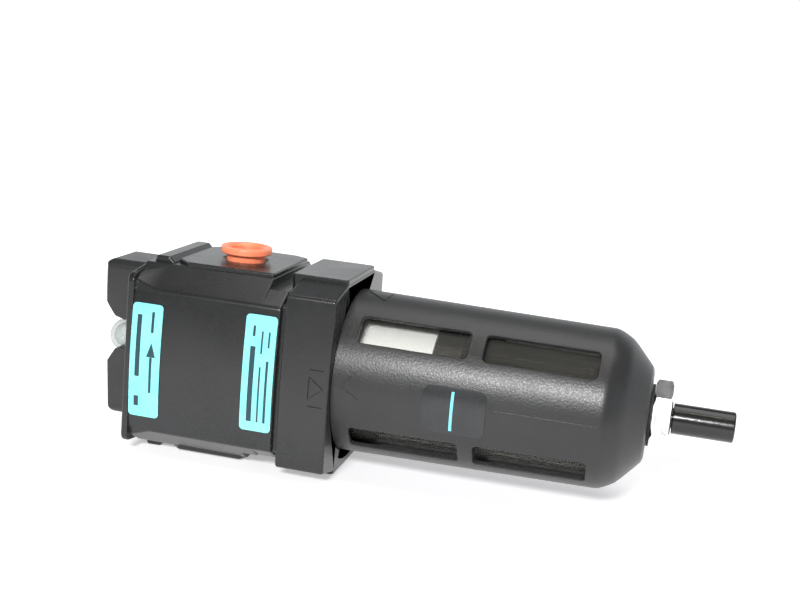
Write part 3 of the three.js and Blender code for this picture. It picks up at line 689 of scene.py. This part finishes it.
    # the spigot reaches through the socket, and the inlet passage crosses the outlet chamber
    h = add(h, lathe("t", [(6.5, 18.5), (9.62, 18.5), (9.62, 64.9), (9.0, 65.5), (6.5, 65.5)], 64))
    h = add(h, lathe("t", [(0, -20.5), (9.2, -20.5), (9.2, -5), (0, -5)], 40, axis="Z", at=(28.0, 0)))
    h = cut(h, lathe("t", [(0, 15.5), (7.0, 15.5), (7.0, 66.6), (0, 66.6)], 48))
    h = cut(h, lathe("t", [(8.55, 61.0), (10.6, 61.0), (10.6, 62.9), (8.55, 62.9)], 64))
    h = cut(h, threaded_rod("t", 6.58, 0.62, 1.337, -31.0, -13.0, (26.7, 0), 48, 7.5, 5, -30.0))
    h = cut(h, lathe("t", [(0, -31), (6.2, -31), (6.2, -2), (0, -2)], 32, axis="Z", at=(26.7, 0)))
    h = cut(h, threaded_rod("t", 6.58, 0.42, 1.337, 12.0, 31.0, (26.7, 0), 48, 7.5, 5, 30.0))
    for r, x0, x1 in ((1.9, -1, 2.0), (3.0, 1.0, 16.5)):
        hole = lathe("t", [(0, x0), (r, x0), (r, x1), (0, x1)], 32)
        for v in hole.data.vertices:
            v.co.z += IND_Z
        h = cut(h, hole)
    for z in SCREW_Z:
        hole = lathe("t", [(0, -1), (1.75, -1), (1.75, 11), (0, 11)], 24)
        for v in hole.data.vertices:
            v.co.z += z
        h = cut(h, hole)
    return h


head = build_head()
settle(head, "head", MAT["cast_black"], ["filter_head"], angle=30)


# ---------------------------------------------------------------- labels
def build_label(name, x0, x1, z0, z1):
    n = 16
    pts2 = rounded_rect(z0, z1, x0, x1, 1.2, 6)
    flat = rprism("t", pts2, -40, 0, axis="Y")
    out, back = [], []
    for i in range(n + 1):
        z = z0 - 0.5 + (z1 - z0 + 1) * i / n
        y = -(FRONT_Y - FRONT_CROWN * (z / FRONT_Z) ** 2)
        out.append((y - 0.30, z))
        back.insert(0, (y - 0.12, z))
    strip = rprism(name, out + back, x0 - 0.5, x1 + 0.5)
    return common(strip, flat)


left_label = build_label("label_left_sheet", 2.13, 11.9, -17.5, 17.9)
# a flow arrow and plain bars, in place of any name
left_mat = label_material("label_cyan_left", [(8.9, -4.0, 0.42, 5.6), (4.6, 4.8, 0.75, 9.6), (4.6, -12.6, 0.75, 1.6), (8.9, 12.4, 0.45, 3.2)], arrow=((8.9, 6.2), (8.9, 1.6), 1.5))
settle(left_label, "head", left_mat, ["label_left"])
right_label = build_label("label_right_sheet", 38.27, 48.0, -16.1, 19.47)
right_mat = label_material("label_cyan_right", [(41.1, -1.6, 0.80, 11.6), (43.75, -4.6, 0.28, 8.6), (43.75, 11.4, 0.28, 3.4), (45.9, -3.6, 0.40, 9.6), (45.9, 12.4, 0.28, 2.4), (41.1, 14.6, 0.40, 1.6)])
settle(right_label, "head", right_mat, ["label_right"])


# ---------------------------------------------------------------- plug
plug = lathe("outlet_plug_cap", round_profile([
    (0, 21.5), (5.45, 21.5), (5.9, 22.2), (6.15, 30.2), (6.15, 32.0), (8.05, 32.0), (8.05, 34.2), (6.35, 34.2), (5.35, 33.4), (4.95, 23.0), (0, 23.0)],
    [0, 0.3, 0.2, 0.2, 0.25, 0.5, 0.55, 0.3, 0.4, 0.4, 0], 5), 72, axis="Z", at=(26.7, 0))
settle(plug, "port_cap", MAT["plug_orange"], ["outlet_plug"], angle=40)


# ---------------------------------------------------------------- pressure drop indicator
def lifted(o, dz):
    for v in o.data.vertices:
        v.co.z += dz
    return o


def build_housing():
    y0, y1, z0, z1, x_low, x_high = -9.6, 10.2, -24.6, 26.0, -13.6, -16.6
    b = rprism("indicator_cover", rounded_rect(y0, y1, z0, z1, 3.0, 8), -16.8, -0.35, 0, 0.25, "X", 4)
    side = fillet([(z0, 6), (z0, x_low), (z1, x_high), (z1, 6)], [0, 2.8, 2.4, 0], 8)
    b = common(b, rprism("t", side, -12, 12, axis="Y"))
    plan = fillet([(6, y0), (x_high, y0), (x_high, y1), (6, y1)], [0, 1.8, 6.0, 0], 8)
    b = common(b, rprism("t", plan, -30, 30, axis="Z"))
    notch = fillet([(-10.9, -16.9), (13.8, -16.9), (7.9, -12.6), (7.0, -9.4), (7.0, -5.4), (-2.9, -5.4), (-2.9, -9.0), (-2.5, -11.9)], [0, 0, 1.6, 0.8, 0.5, 0.5, 0.5, 1.2], 5)
    b = cut(b, rprism("t", notch, -12, 12, axis="Y"))
    for prof in ([(0, -17), (LENS_R + 0.3, -17), (LENS_R + 0.3, -4), (0, -4)], [(0, -4.7), (6.9, -4.7), (6.9, 0.2), (0, 0.2)], [(7.6, -1.3), (9.2, -1.3), (9.2, 0.2), (7.6, 0.2)]):
        b = cut(b, lifted(lathe("t", prof, 48), IND_Z))
    for z in SCREW_Z:
        for r, x0, x1 in ((1.8, -17, 1), (3.3, -17, -11.3)):
            b = cut(b, lifted(lathe("t", [(0, x0), (r, x0), (r, x1), (0, x1)], 32), z))
    return b


def body_of_node(node):
    for b, members in frame["record"]["behaviour"]["bodies"].items():
        if node in members:
            return b
    return "root"


settle(build_housing(), body_of_node("indicator_housing"), MAT["housing_black"], ["indicator_housing"], angle=30)

def build_lens():
    bore = LENS_R - 1.2
    inner, outer = [], [(bore, -0.6), (6.6, -0.6), (6.6, -4.5), (LENS_R, -4.5), (LENS_R, -14.0)]
    for i in range(9):
        a = rad(90 - 90 * i / 8)
        inner.append((bore * math.cos(a) if i else 0, -13.8 - 2.8 * math.sin(a)))
    for i in range(1, 13):
        a = rad(7.5 * i)
        outer.append((LENS_R * math.cos(a) if i < 12 else 0, -14.0 - 4.0 * math.sin(a)))
    return lifted(lathe("indicator_window", inner + outer, 48), IND_Z)


settle(build_lens(), body_of_node("indicator_lens"), MAT["clear_plastic"], ["indicator_lens"], angle=40)


def build_screw(z, name):
    s = lathe(name, round_profile([(0, -13.6), (3.0, -13.6), (3.0, -11.4), (1.5, -11.4), (1.5, 9.0), (0, 9.9)], [0, 0.7, 0.1, 0.1, 0.1, 0], 4), 40)
    s = cut(s, rprism("t", [(1.45 * math.cos(rad(60 * i)), 1.45 * math.sin(rad(60 * i))) for i in range(6)], -15.2, -12.3))
    for v in s.data.vertices:
        v.co.z += z
    return s


for node, z in (("indicator_screw_upper", SCREW_Z[0]), ("indicator_screw_lower", SCREW_Z[1])):
    settle(build_screw(z, node + "_hex"), body_of_node(node), MAT["screw_steel"], [node], angle=30)


# ---------------------------------------------------------------- bowl guard
G_R0, G_R1, G_BEND, G_X1, G_WALL = 25.38, 24.2, 143.6, 156.6, 1.5
G_END = [(24.2, 143.6), (23.9, 145.1), (22.95, 147.2), (21.45, 149.6), (19.1, 151.9), (15.3, 155.3), (14.1, 156.2), (12.6, 156.6)]
G_END_IN = [(22.35, 144.6), (21.5, 146.5), (20.15, 148.6), (18.0, 150.7), (14.3, 154.0), (12.9, 154.9)]
COLLAR_X1 = 65.1
SLOT_W, SLOT_R = 9.3, 1.5
SLOT_X = [(70.3, 103.4), (108.0, 141.2)]
SLOT_ANGLES = [44.6, -39.3, 140.7, 224.6]


def guard_r(x):
    return G_R0 if x <= COLLAR_X1 else G_R0 - (G_R0 - G_R1) * (x - COLLAR_X1) / (G_BEND - COLLAR_X1)


def on_cyl(r, deg, x):
    return (x, -r * math.cos(rad(deg)), r * math.sin(rad(deg)))


def slot_contour(x0, x1, grow, n_side=14, n_end=4, n_corner=6):
    """Points (x, across) of a rounded slot, grown outwards, always the same number."""
    a0, a1 = x0 - grow, x1 + grow
    w, r = SLOT_W / 2 + grow, SLOT_R + grow
    pts = []
    corners = [(a1 - r, -w + r, -90), (a1 - r, w - r, 0), (a0 + r, w - r, 90), (a0 + r, -w + r, 180)]
    for k, (cx, cy, s) in enumerate(corners):
        for i in range(n_corner + 1):
            t = rad(s + 90 * i / n_corner)
            pts.append((cx + r * math.cos(t), cy + r * math.sin(t)))
        nx, ny, ns = corners[(k + 1) % 4]
        t = rad(ns)
        end = (nx + r * math.cos(t), ny + r * math.sin(t))
        start = pts[-1]
        n = n_end if k % 2 == 0 else n_side
        for i in range(1, n):
            pts.append((start[0] + (end[0] - start[0]) * i / n, start[1] + (end[1] - start[1]) * i / n))
    return pts


def build_guard():
    N = 144
    step = 360 / N
    xa, xb = 66.4, 143.0
    verts, faces = [], []
    rm = 24.8
    k = math.pi / 180 * rm

    def add_sheet(depth, grow):
        """The slotted wall as a triangulated sheet at one depth below the outside."""
        pts, edges = [], []
        cols = [-180 + step * i for i in range(N + 1)]
        rows_x = [xa + (xb - xa) * j / 26 for j in range(27)]
        index = {}
        for j, x in enumerate(rows_x):
            for i, c in enumerate(cols):
                border = j in (0, 26) or i in (0, N)
                near = False
                if not border:
                    for a in SLOT_ANGLES:
                        d = (c - a + 180) % 360 - 180
                        u = d * k
                        for x0, x1 in SLOT_X:
                            if x0 - grow - 1.0 < x < x1 + grow + 1.0 and abs(u) < SLOT_W / 2 + grow + 0.75:
                                near = True
                if near:
                    continue
                index[(i, j)] = len(pts)
                pts.append(Vector((c * k, x)))
        for i in range(N):
            edges.append((index[(i, 0)], index[(i + 1, 0)]))
            edges.append((index[(i, 26)], index[(i + 1, 26)]))
        for j in range(26):
            edges.append((index[(0, j)], index[(0, j + 1)]))
            edges.append((index[(N, j)], index[(N, j + 1)]))
        loops = []
        for a in SLOT_ANGLES:
            a = (a + 180) % 360 - 180
            for x0, x1 in SLOT_X:
                c = slot_contour(x0, x1, grow)
                first = len(pts)
                loop = []
                for x, y in c:
                    r = guard_r(x) - depth
                    deg = a + math.degrees(math.asin(max(-1, min(1, y / r))))
                    loop.append((deg, x))
                    pts.append(Vector((deg * k, x)))
                for i in range(len(c)):
                    edges.append((first + i, first + (i + 1) % len(c)))
                loops.append(loop)
        out = delaunay_2d_cdt(pts, edges, [], 0, 1e-7)
        v2, tris, orig = out[0], out[2], out[3]
        base = len(verts)
        for v in v2:
            deg, x = v.x / k, v.y
            verts.append(on_cyl(guard_r(x) - depth, deg, x))
        boxes = [((a + 180) % 360 - 180, x0 - grow, x1 + grow) for a in SLOT_ANGLES for x0, x1 in SLOT_X]
        for t in tris:
            cx = sum(v2[i].y for i in t) / 3
            cd = sum(v2[i].x for i in t) / 3 / k
            inside = False
            for a, x0, x1 in boxes:
                if x0 < cx < x1:
                    r = guard_r(cx) - depth
                    y = r * math.sin(rad(cd - a)) if abs(cd - a) < 60 else 99
                    if abs(y) < SLOT_W / 2 + grow:
                        # inside the rounded corners too
                        w, rr = SLOT_W / 2 + grow, SLOT_R + grow
                        ex = max(x0 + rr - cx, cx - (x1 - rr), 0)
                        ey = max(abs(y) - (w - rr), 0)
                        if math.hypot(ex, ey) < rr - 1e-6:
                            inside = True
            if not inside:
                faces.append(tuple(base + i for i in t))

    b = 0.38
    add_sheet(0.0, b)
    add_sheet(G_WALL, 0.12)
    # rims and walls of the slots
    for a in SLOT_ANGLES:
        for x0, x1 in SLOT_X:
            rings = [(b * (1 - math.sin(rad(30 * i))), b * (1 - math.cos(rad(30 * i)))) for i in range(4)]
            rings += [(0.0, 0.9), (0.0, G_WALL - 0.12), (0.12, G_WALL)]
            rows = []
            for grow, depth in rings:
                row = []
                for x, y in slot_contour(x0, x1, grow):
                    r = guard_r(x) - depth
                    row.append(len(verts))
                    verts.append(on_cyl(r, a + math.degrees(math.asin(y / r)), x))
                rows.append(row)
            m = len(rows[0])
            for j in range(len(rows) - 1):
                for i in range(m):
                    faces.append((rows[j][i], rows[j][(i + 1) % m], rows[j + 1][(i + 1) % m], rows[j + 1][i]))
    # the dome end and the plain front end, turned with the same divisions
    dome = [(guard_r(xb), xb)]
    ends = [(guard_r(142.0), 142.0)] + G_END + [(10.5, G_X1)]
    for i in range(1, len(ends) - 2):
        p0, p1, p2, p3 = (Vector(q) for q in ends[i - 1:i + 3])
        for j in range(5):
            t = j / 5
            q = 0.5 * (2 * p1 + (p2 - p0) * t + (2 * p0 - 5 * p1 + 4 * p2 - p3) * t * t + (3 * p1 - p0 - 3 * p2 + p3) * t ** 3)
            dome.append((q.x, min(q.y, G_X1)))
    dome += [(12.6, G_X1), (9.0, G_X1), (5.9, G_X1), (5.5, G_X1 - 0.3), (5.5, 155.0), (5.7, 154.9)]
    dome += list(reversed(G_END_IN)) + [(guard_r(xb) - G_WALL, xb)]
    front = [(guard_r(xa) - G_WALL, xa), (G_R0 - G_WALL, 63.8), (22.3, 63.0), (22.3, 60.4), (23.6, 60.4), (23.6, 54.7), (23.8, 54.5),
             (G_R0 - 0.4, 54.5), (G_R0, 54.9), (G_R0, 60.0), (G_R0, COLLAR_X1), (guard_r(xa), xa)]
    for prof in (dome, front):
        base = len(verts)
        for r, x in prof:
            for i in range(N):
                verts.append(on_cyl(r, -180 + step * i, x))
        for j in range(len(prof) - 1):
            for i in range(N):
                faces.append((base + j * N + i, base + j * N + (i + 1) % N, base + (j + 1) * N + (i + 1) % N, base + (j + 1) * N + i))
    g = new_object("bowl_guard_shell", verts, faces)
    bm = bmesh.new()
    bm.from_mesh(g.data)
    bmesh.ops.remove_doubles(bm, verts=bm.verts, dist=2e-3)
    bmesh.ops.recalc_face_normals(bm, faces=bm.faces)
    open_edges = sum(1 for e in bm.edges if len(e.link_faces) != 2)
    print("guard open edges", open_edges, "faces", len(bm.faces))
    bm.to_mesh(g.data)
    bm.free()
    for a in (45, 225):
        pts = []
        for i in range(13):
            pts.append(tuple(on_cyl(28.0, a - 16 + 32 * i / 12, 0)[1:]))
        for i in range(13):
            pts.append(tuple(on_cyl(24.9, a + 16 - 32 * i / 12, 0)[1:]))
        lug = rprism("t", fillet(pts, [0.8] + [0] * 11 + [0.8] + [0] * 13, 3), 55.0, 59.5, 0.3, 0.3)
        g = add(g, lug)
    return g


guard = build_guard()
settle(guard, "bowl_group", MAT["guard_black"], ["bowl_guard"], angle=34)


def strip_on_guard(p, q, width, height, n=8, embed=0.3):
    """A raised bar on the guard between two (x, degrees) points."""
    x0, d0 = p
    x1, d1 = q
    k = math.pi / 180 * 25
    d = Vector((x1 - x0, (d1 - d0) * k)).normalized()
    nrm = Vector((-d.y, d.x)) * width / 2
    verts, faces = [], []
    for i in range(n + 1):
        t = i / n
        x, u = x0 + (x1 - x0) * t, (d0 + (d1 - d0) * t) * k
        for s, h in ((1, -embed), (1, height * 0.55), (0.72, height), (-0.72, height), (-1, height * 0.55), (-1, -embed)):
            px, pu = x + nrm.x * s, u + nrm.y * s
            verts.append(on_cyl(guard_r(px) + h, pu / k, px))
    m = 6
    for i in range(n):
        for j in range(m):
            faces.append((i * m + j, i * m + (j + 1) % m, (i + 1) * m + (j + 1) % m, (i + 1) * m + j))
    faces.append(tuple(reversed(range(m))))
    faces.append(tuple(n * m + j for j in range(m)))
    return new_object("t", verts, faces)


marks = [
    strip_on_guard((68.3, 88.0), (74.2, 75.6), 0.55, 0.2),
    strip_on_guard((74.4, 75.8), (75.1, 91.0), 0.55, 0.2),
    strip_on_guard((72.3, 13.0), (68.1, 3.0), 0.5, 0.16),
    strip_on_guard((68.1, 2.2), (73.2, -5.0), 0.5, 0.16),
    strip_on_guard((113.5, 1.6), (143.0, 1.6), 0.28, 0.05, 30),
    strip_on_guard((67.0, 181.6), (143.0, 181.6), 0.28, 0.05, 60),
]
settle(join("guard_marks", marks), "bowl_group", MAT["guard_black"], (), angle=34)


# ---------------------------------------------------------------- sticker
def build_sticker():
    pts = rounded_rect(-8.6, 5.7, 92.6, 111.3, 2.4, 8)
    flat = rprism("t", pts, -40, 0, axis="Y")
    n = 40
    verts, faces = [], []
    rows = 14
    for side, h in ((0, 0.10), (1, 0.28)):
        for j in range(rows + 1):
            x = 91.0 + 22.0 * j / rows
            for i in range(n + 1):
                deg = -26 + 46 * i / n
                verts.append(on_cyl(guard_r(x) + h, deg, x))
    w = n + 1
    o = (rows + 1) * w
    for j in range(rows):
        for i in range(n):
            a = j * w + i
            faces.append((a, a + 1, a + w + 1, a + w))
            faces.append((o + a, o + a + w, o + a + w + 1, o + a + 1))
    for j in range(rows):
        faces.append((j * w, (j + 1) * w, o + (j + 1) * w, o + j * w))
        faces.append((j * w + n, o + j * w + n, o + (j + 1) * w + n, (j + 1) * w + n))
    for i in range(n):
        faces.append((i, o + i, o + i + 1, i + 1))
        a = rows * w + i
        faces.append((a, a + 1, o + a + 1, o + a))
    s = new_object("level_sticker_sheet", verts, faces)
    return common(s, flat)


def sticker_material():
    m = Mat("sticker_dark")
    ax, ay, az = m.axes()
    line = rects_mask(m, ax, az, [(101.4, -1.4, 0.42, 6.0)])
    cloud = m.noise(120, 3, 0.6)
    speck = m.noise(2400, 2, 0.6)
    base = m.mix(m.ramp(cloud, 0.3, 0.7), (0.020, 0.022, 0.024, 1), (0.028, 0.030, 0.033, 1))
    m.to("Base Color", m.mix(line, base, rgb(120, 215, 228)))
    m.to("Roughness", m.ramp(speck, 0.3, 0.7, 0.20, 0.28))
    m.to("Normal", m.bump(speck, 0.00002, 0.25))
    return m.mat


settle(build_sticker(), "bowl_group", sticker_material(), ["level_sticker"], angle=40)


# ---------------------------------------------------------------- bowl, element, drain
def build_bowl():
    outer = [(18.6, 47.3), (20.8, 47.3), (21.2, 47.7), (21.2, 49.0), (19.75, 49.0), (19.75, 51.8), (21.2, 51.8), (21.2, 57.0), (23.2, 57.0), (23.2, 60.1), (21.8, 60.1), (21.65, 85.0), (21.45, 115.0), (21.3, 139.5)]
    for i in range(1, 13):
        a = rad(90 * i / 12)
        outer.append((8.2 + 13.1 * math.cos(a), 139.5 + 9.7 * math.sin(a)))
    outer += [(8.2, 154.4), (7.9, 154.7), (5.4, 154.7)]
    inner = [(5.4, 147.0)]
    for i in range(12, 0, -1):
        a = rad(90 * i / 12)
        inner.append((8.2 + 10.9 * math.cos(a), 139.5 + 7.5 * math.sin(a)))
    inner += [(19.1, 139.5), (19.6, 62.5), (18.4, 60.0)]
    return lathe("bowl_clear", outer + inner, 112)


settle(build_bowl(), "bowl_group", MAT["clear_bowl"], ["bowl"], angle=30)

sleeve_prof = [(13.95, 65.7), (17.8, 65.7), (18.0, 66.0)] + [(18.0, 66.0 + 25.6 * i / 28) for i in range(1, 28)] + [(18.0, 91.7), (17.8, 92.0), (13.95, 92.0)]
sleeve = lathe("element_sleeve_felt", sleeve_prof, 160)
for v in sleeve.data.vertices:  # soft wrapped felt: shallow winding bands and random nap, inside its CAD room
    r = math.hypot(v.co.y, v.co.z)
    if r > 17.0:
        ang = math.atan2(v.co.z, v.co.y)
        nap = 0.05 * math.sin(ang * 37 + v.co.x * 2.1) + 0.05 * math.sin(ang * 61 - v.co.x * 3.3) + 0.06 * math.sin(v.co.x * 2.6 + ang * 2)
        k = 1 - (0.10 + nap * 0.5) / r
        v.co.y *= k
        v.co.z *= k
settle(sleeve, body_of_node("element_sleeve"), MAT["sleeve_white"], ["element_sleeve"], angle=60)

cap_r = 18.4
bottom = lathe("element_end_cap", round_profile([(0, 92.3), (cap_r, 92.3), (cap_r, 100.4), (cap_r - 1.2, 101.4), (5.5, 101.4), (4.8, 104.6), (0, 104.6)], [0, 0.4, 0.8, 0.6, 0.8, 0.9, 0], 4), 96)
for i in range(12):  # shallow grip notches round the cap
    a = 30 * i + 8
    pts = [tuple(on_cyl(r, a + d, 0)[1:]) for r, d in ((17.5, -3.2), (20.0, -3.2), (20.0, 3.2), (17.5, 3.2))]
    bottom = cut(bottom, rprism("t", pts, 94.2, 99.0))
settle(bottom, body_of_node("element_bottom_cap"), MAT["element_black"], ["element_bottom_cap"], angle=30)

top = lathe("element_head_cap", round_profile([(10.05, 57.0), (12.4, 57.0), (12.4, 62.0), (18.4, 62.0), (18.4, 65.4), (13.5, 65.4), (13.5, 69.9), (8.0, 69.9), (8.0, 66.4), (10.05, 66.4)], [0.2, 0.5, 0.4, 0.5, 0.4, 0.1, 0.3, 0.1, 0.1, 0.1], 4), 96)
settle(top, body_of_node("element_top_cap"), MAT["element_black"], ["element_top_cap"], angle=30)


def build_nut():
    af, x0, x1 = 19.0, 157.6, 162.8
    ac = af / math.cos(rad(30)) / 2
    pts = [(-ac * math.cos(rad(104 + 60 * i)), ac * math.sin(rad(104 + 60 * i))) for i in range(6)]
    h = rprism("drain_nut_hex", fillet(pts, 0.5, 4), x0, x1)
    bev = lathe("t", [(0, x0), (ac - 1.15, x0), (ac + 0.2, x0 + 0.75), (ac + 0.2, x1 - 0.75), (ac - 1.15, x1), (0, x1)], 128)
    h = common(h, bev)
    h = cut(h, lathe("t", round_profile([(0, x0 - 1), (6.2, x0 - 1), (5.3, x0 + 0.5), (5.3, x1 - 0.5), (6.2, x1 + 1), (0, x1 + 1)], 0), 64))
    return h


settle(build_nut(), "bowl_group", MAT["nut_nickel"], ["drain_nut"], angle=24)

stem_prof = round_profile([(1.6, 150.2), (3.1, 150.2), (3.1, 163.5), (4.58, 163.5), (4.58, 181.5), (2.6, 181.5), (2.4, 166.0), (1.6, 165.6)], [0.1, 0.3, 0.1, 0.3, 0.55, 0.4, 0.1, 0.1], 5)
settle(lathe("drain_stem_tube", stem_prof, 72), body_of_node("drain_stem"), MAT["stem_black"], ["drain_stem"], angle=40)

body_prof = round_profile([(1.9, 142.7), (8.4, 142.7), (8.4, 145.2), (7.3, 145.2), (7.3, 145.9), (5.0, 145.9), (5.0, 163.2), (3.4, 163.2), (3.4, 143.2), (1.9, 143.2)], [0.1, 0.3, 0.2, 0.1, 0.1, 0.1, 0.3, 0.1, 0.05, 0.05], 4)
settle(lathe("drain_body_shank", body_prof, 64), body_of_node("drain_body"), MAT["element_black"], ["drain_body"], angle=30)

# the CAD nodes whose shape is right keep it and take a finish
FINISH = {
    "indicator_piston": "indicator_green", "indicator_spring": "spring_steel", "indicator_gasket": "seal_rubber",
    "element_o_ring": "seal_rubber", "element_core": "core_steel", "element_media": "media_white",
    "bowl_o_ring": "seal_rubber", "drain_seal": "seal_rubber", "drain_poppet": "element_black",
    "drain_spring": "spring_steel", "drain_gasket": "seal_rubber",
}
for node, mat_name in FINISH.items():
    o = NODES[node]
    if o.hide_render:
        continue
    if not o.material_slots:
        o.data.materials.append(MAT[mat_name])
    for s in o.material_slots:
        s.material = MAT[mat_name]


# ---------------------------------------------------------------- floor, world, lights, camera
FLOOR_NEAR, FLOOR_FRONT = 0.40, 0.15


def build_floor():
    bm = bmesh.new()
    rings = [0.0, 0.15, 0.3, 0.6, 1.2, 2.5, 5.0, 12.0]
    seg = 96
    rows = []
    for r in rings:
        if r == 0:
            rows.append([bm.verts.new((0, 0, LO.z - 0.00005))])
        else:
            rows.append([bm.verts.new((r * math.cos(2 * math.pi * i / seg), r * math.sin(2 * math.pi * i / seg), LO.z - 0.00005)) for i in range(seg)])
    for i in range(seg):
        bm.faces.new((rows[0][0], rows[1][i], rows[1][(i + 1) % seg]))
    for a, b in zip(rows[1:-1], rows[2:]):
        for i in range(seg):
            bm.faces.new((a[i], b[i], b[(i + 1) % seg], a[(i + 1) % seg]))
    me = bpy.data.meshes.new("floor")
    bm.to_mesh(me)
    bm.free()
    o = bpy.data.objects.new("floor", me)
    bpy.context.scene.collection.objects.link(o)
    m = Mat("floor_white")
    cloud = m.noise(9, 3, 0.5)
    paper = m.mix(m.ramp(cloud, 0.3, 0.7), (0.90, 0.885, 0.90, 1), (0.915, 0.905, 0.92, 1))
    shade = m.ramp(m.axes()[1], -0.42, -0.10)
    m.to("Base Color", m.mix(shade, (0.10, 0.10, 0.10, 1), paper))
    m.set(Roughness=0.6, Specular_IOR_Level=0.25, Emission_Color=(0.99, 0.985, 1.0, 1))
    ax, ay, az = m.axes()
    away = m.math("SQRT", m.math("ADD", m.math("MULTIPLY", ax, ax), m.math("MULTIPLY", ay, ay)))
    glow = m.ramp(away, 0.12, 0.8, FLOOR_NEAR, 1.1)
    m.to("Emission Strength", m.math("MULTIPLY", glow, m.ramp(ay, -0.42, -0.10, FLOOR_FRONT, 1.0)))
    me.materials.append(m.mat)
    o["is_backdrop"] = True
    return o


build_floor()

world = bpy.data.worlds.new("studio")
bpy.context.scene.world = world
world.use_nodes = True
wt = world.node_tree
wt.nodes.clear()
w_out = wt.nodes.new("ShaderNodeOutputWorld")
w_bg = wt.nodes.new("ShaderNodeBackground")
wt.links.new(w_bg.outputs[0], w_out.inputs[0])
w_co = wt.nodes.new("ShaderNodeTexCoord")
w_sep = wt.nodes.new("ShaderNodeSeparateXYZ")
wt.links.new(w_co.outputs["Generated"], w_sep.inputs[0])
w_ramp = wt.nodes.new("ShaderNodeValToRGB")
wt.links.new(w_sep.outputs[2], w_ramp.inputs[0])
w_ramp.color_ramp.interpolation = "LINEAR"
els = w_ramp.color_ramp.elements
els[0].position, els[0].color = 0.0, (1.03, 1.06, 1.07, 1)
els[1].position, els[1].color = 0.33, (1.0, 1.03, 1.04, 1)
for pos, col in ((0.50, (0.34, 0.345, 0.35, 1)), (0.72, (0.12, 0.122, 0.125, 1)), (1.0, (0.08, 0.08, 0.084, 1))):
    e = els.new(pos)
    e.color = col
w_dim = wt.nodes.new("ShaderNodeMapRange")  # the room behind the viewpoint is darker than the backdrop
w_dim.interpolation_type = "SMOOTHSTEP"
wt.links.new(w_sep.outputs[1], w_dim.inputs["Value"])
for k, v in (("From Min", -0.80), ("From Max", -0.35), ("To Min", 0.22), ("To Max", 1.0)):
    w_dim.inputs[k].default_value = v
wt.links.new(w_ramp.outputs[0], w_bg.inputs[0])
wt.links.new(w_dim.outputs["Result"], w_bg.inputs[1])


def area_light(name, loc, target, size, power, color=(1, 1, 1), size_y=None):
    d = bpy.data.lights.new(name, "AREA")
    d.energy, d.color = power, color
    d.shape = "RECTANGLE"
    d.size, d.size_y = size, size_y or size
    o = bpy.data.objects.new(name, d)
    bpy.context.scene.collection.objects.link(o)
    o.location = loc
    o.rotation_mode = "QUATERNION"
    o.rotation_quaternion = (Vector(target) - Vector(loc)).to_track_quat("-Z", "Y")
    return o


area_light("key_front", (-0.010, -0.74, 0.43), (0.03, 0, 0.03), 0.20, 7.6, (1.0, 1.0, 0.995), 0.11)
area_light("top_soft", (0.10, 0.22, 1.15), (0, 0, 0.03), 1.0, 5.5, (1.0, 1.0, 1.0), 0.7)
area_light("bowl_strip", (0.04, -0.27, 0.93), (0.03, 0, 0.03), 0.60, 0.9, (1.0, 0.90, 0.74), 0.03)

cam_data = bpy.data.cameras.new("camera")
cam = bpy.data.objects.new("camera", cam_data)
bpy.context.scene.collection.objects.link(cam)
cam_data.sensor_width = 36.0
cam_data.lens = 1237.368 / 800 * 36.0
cam_data.clip_start, cam_data.clip_end = 0.01, 60
axes = ((0.96626912, 0.24051199, 0.0920759), (-0.13745352, 0.17929121, 0.97414639), (0.21778549, -0.95394373, 0.20630278))
rot = Matrix(((axes[0][0], axes[1][0], axes[2][0]), (axes[0][1], axes[1][1], axes[2][1]), (axes[0][2], axes[1][2], axes[2][2])))
cam.matrix_world = Matrix.Translation(Vector((DX + 160.5231, -363.4065, DZ + 102.4772)) / 1000) @ rot.to_4x4()
bpy.context.scene.camera = cam
bpy.context.scene.view_settings.view_transform = "Standard"
bpy.context.scene.view_settings.look = "None"

bpy.context.view_layer.update()
a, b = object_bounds()
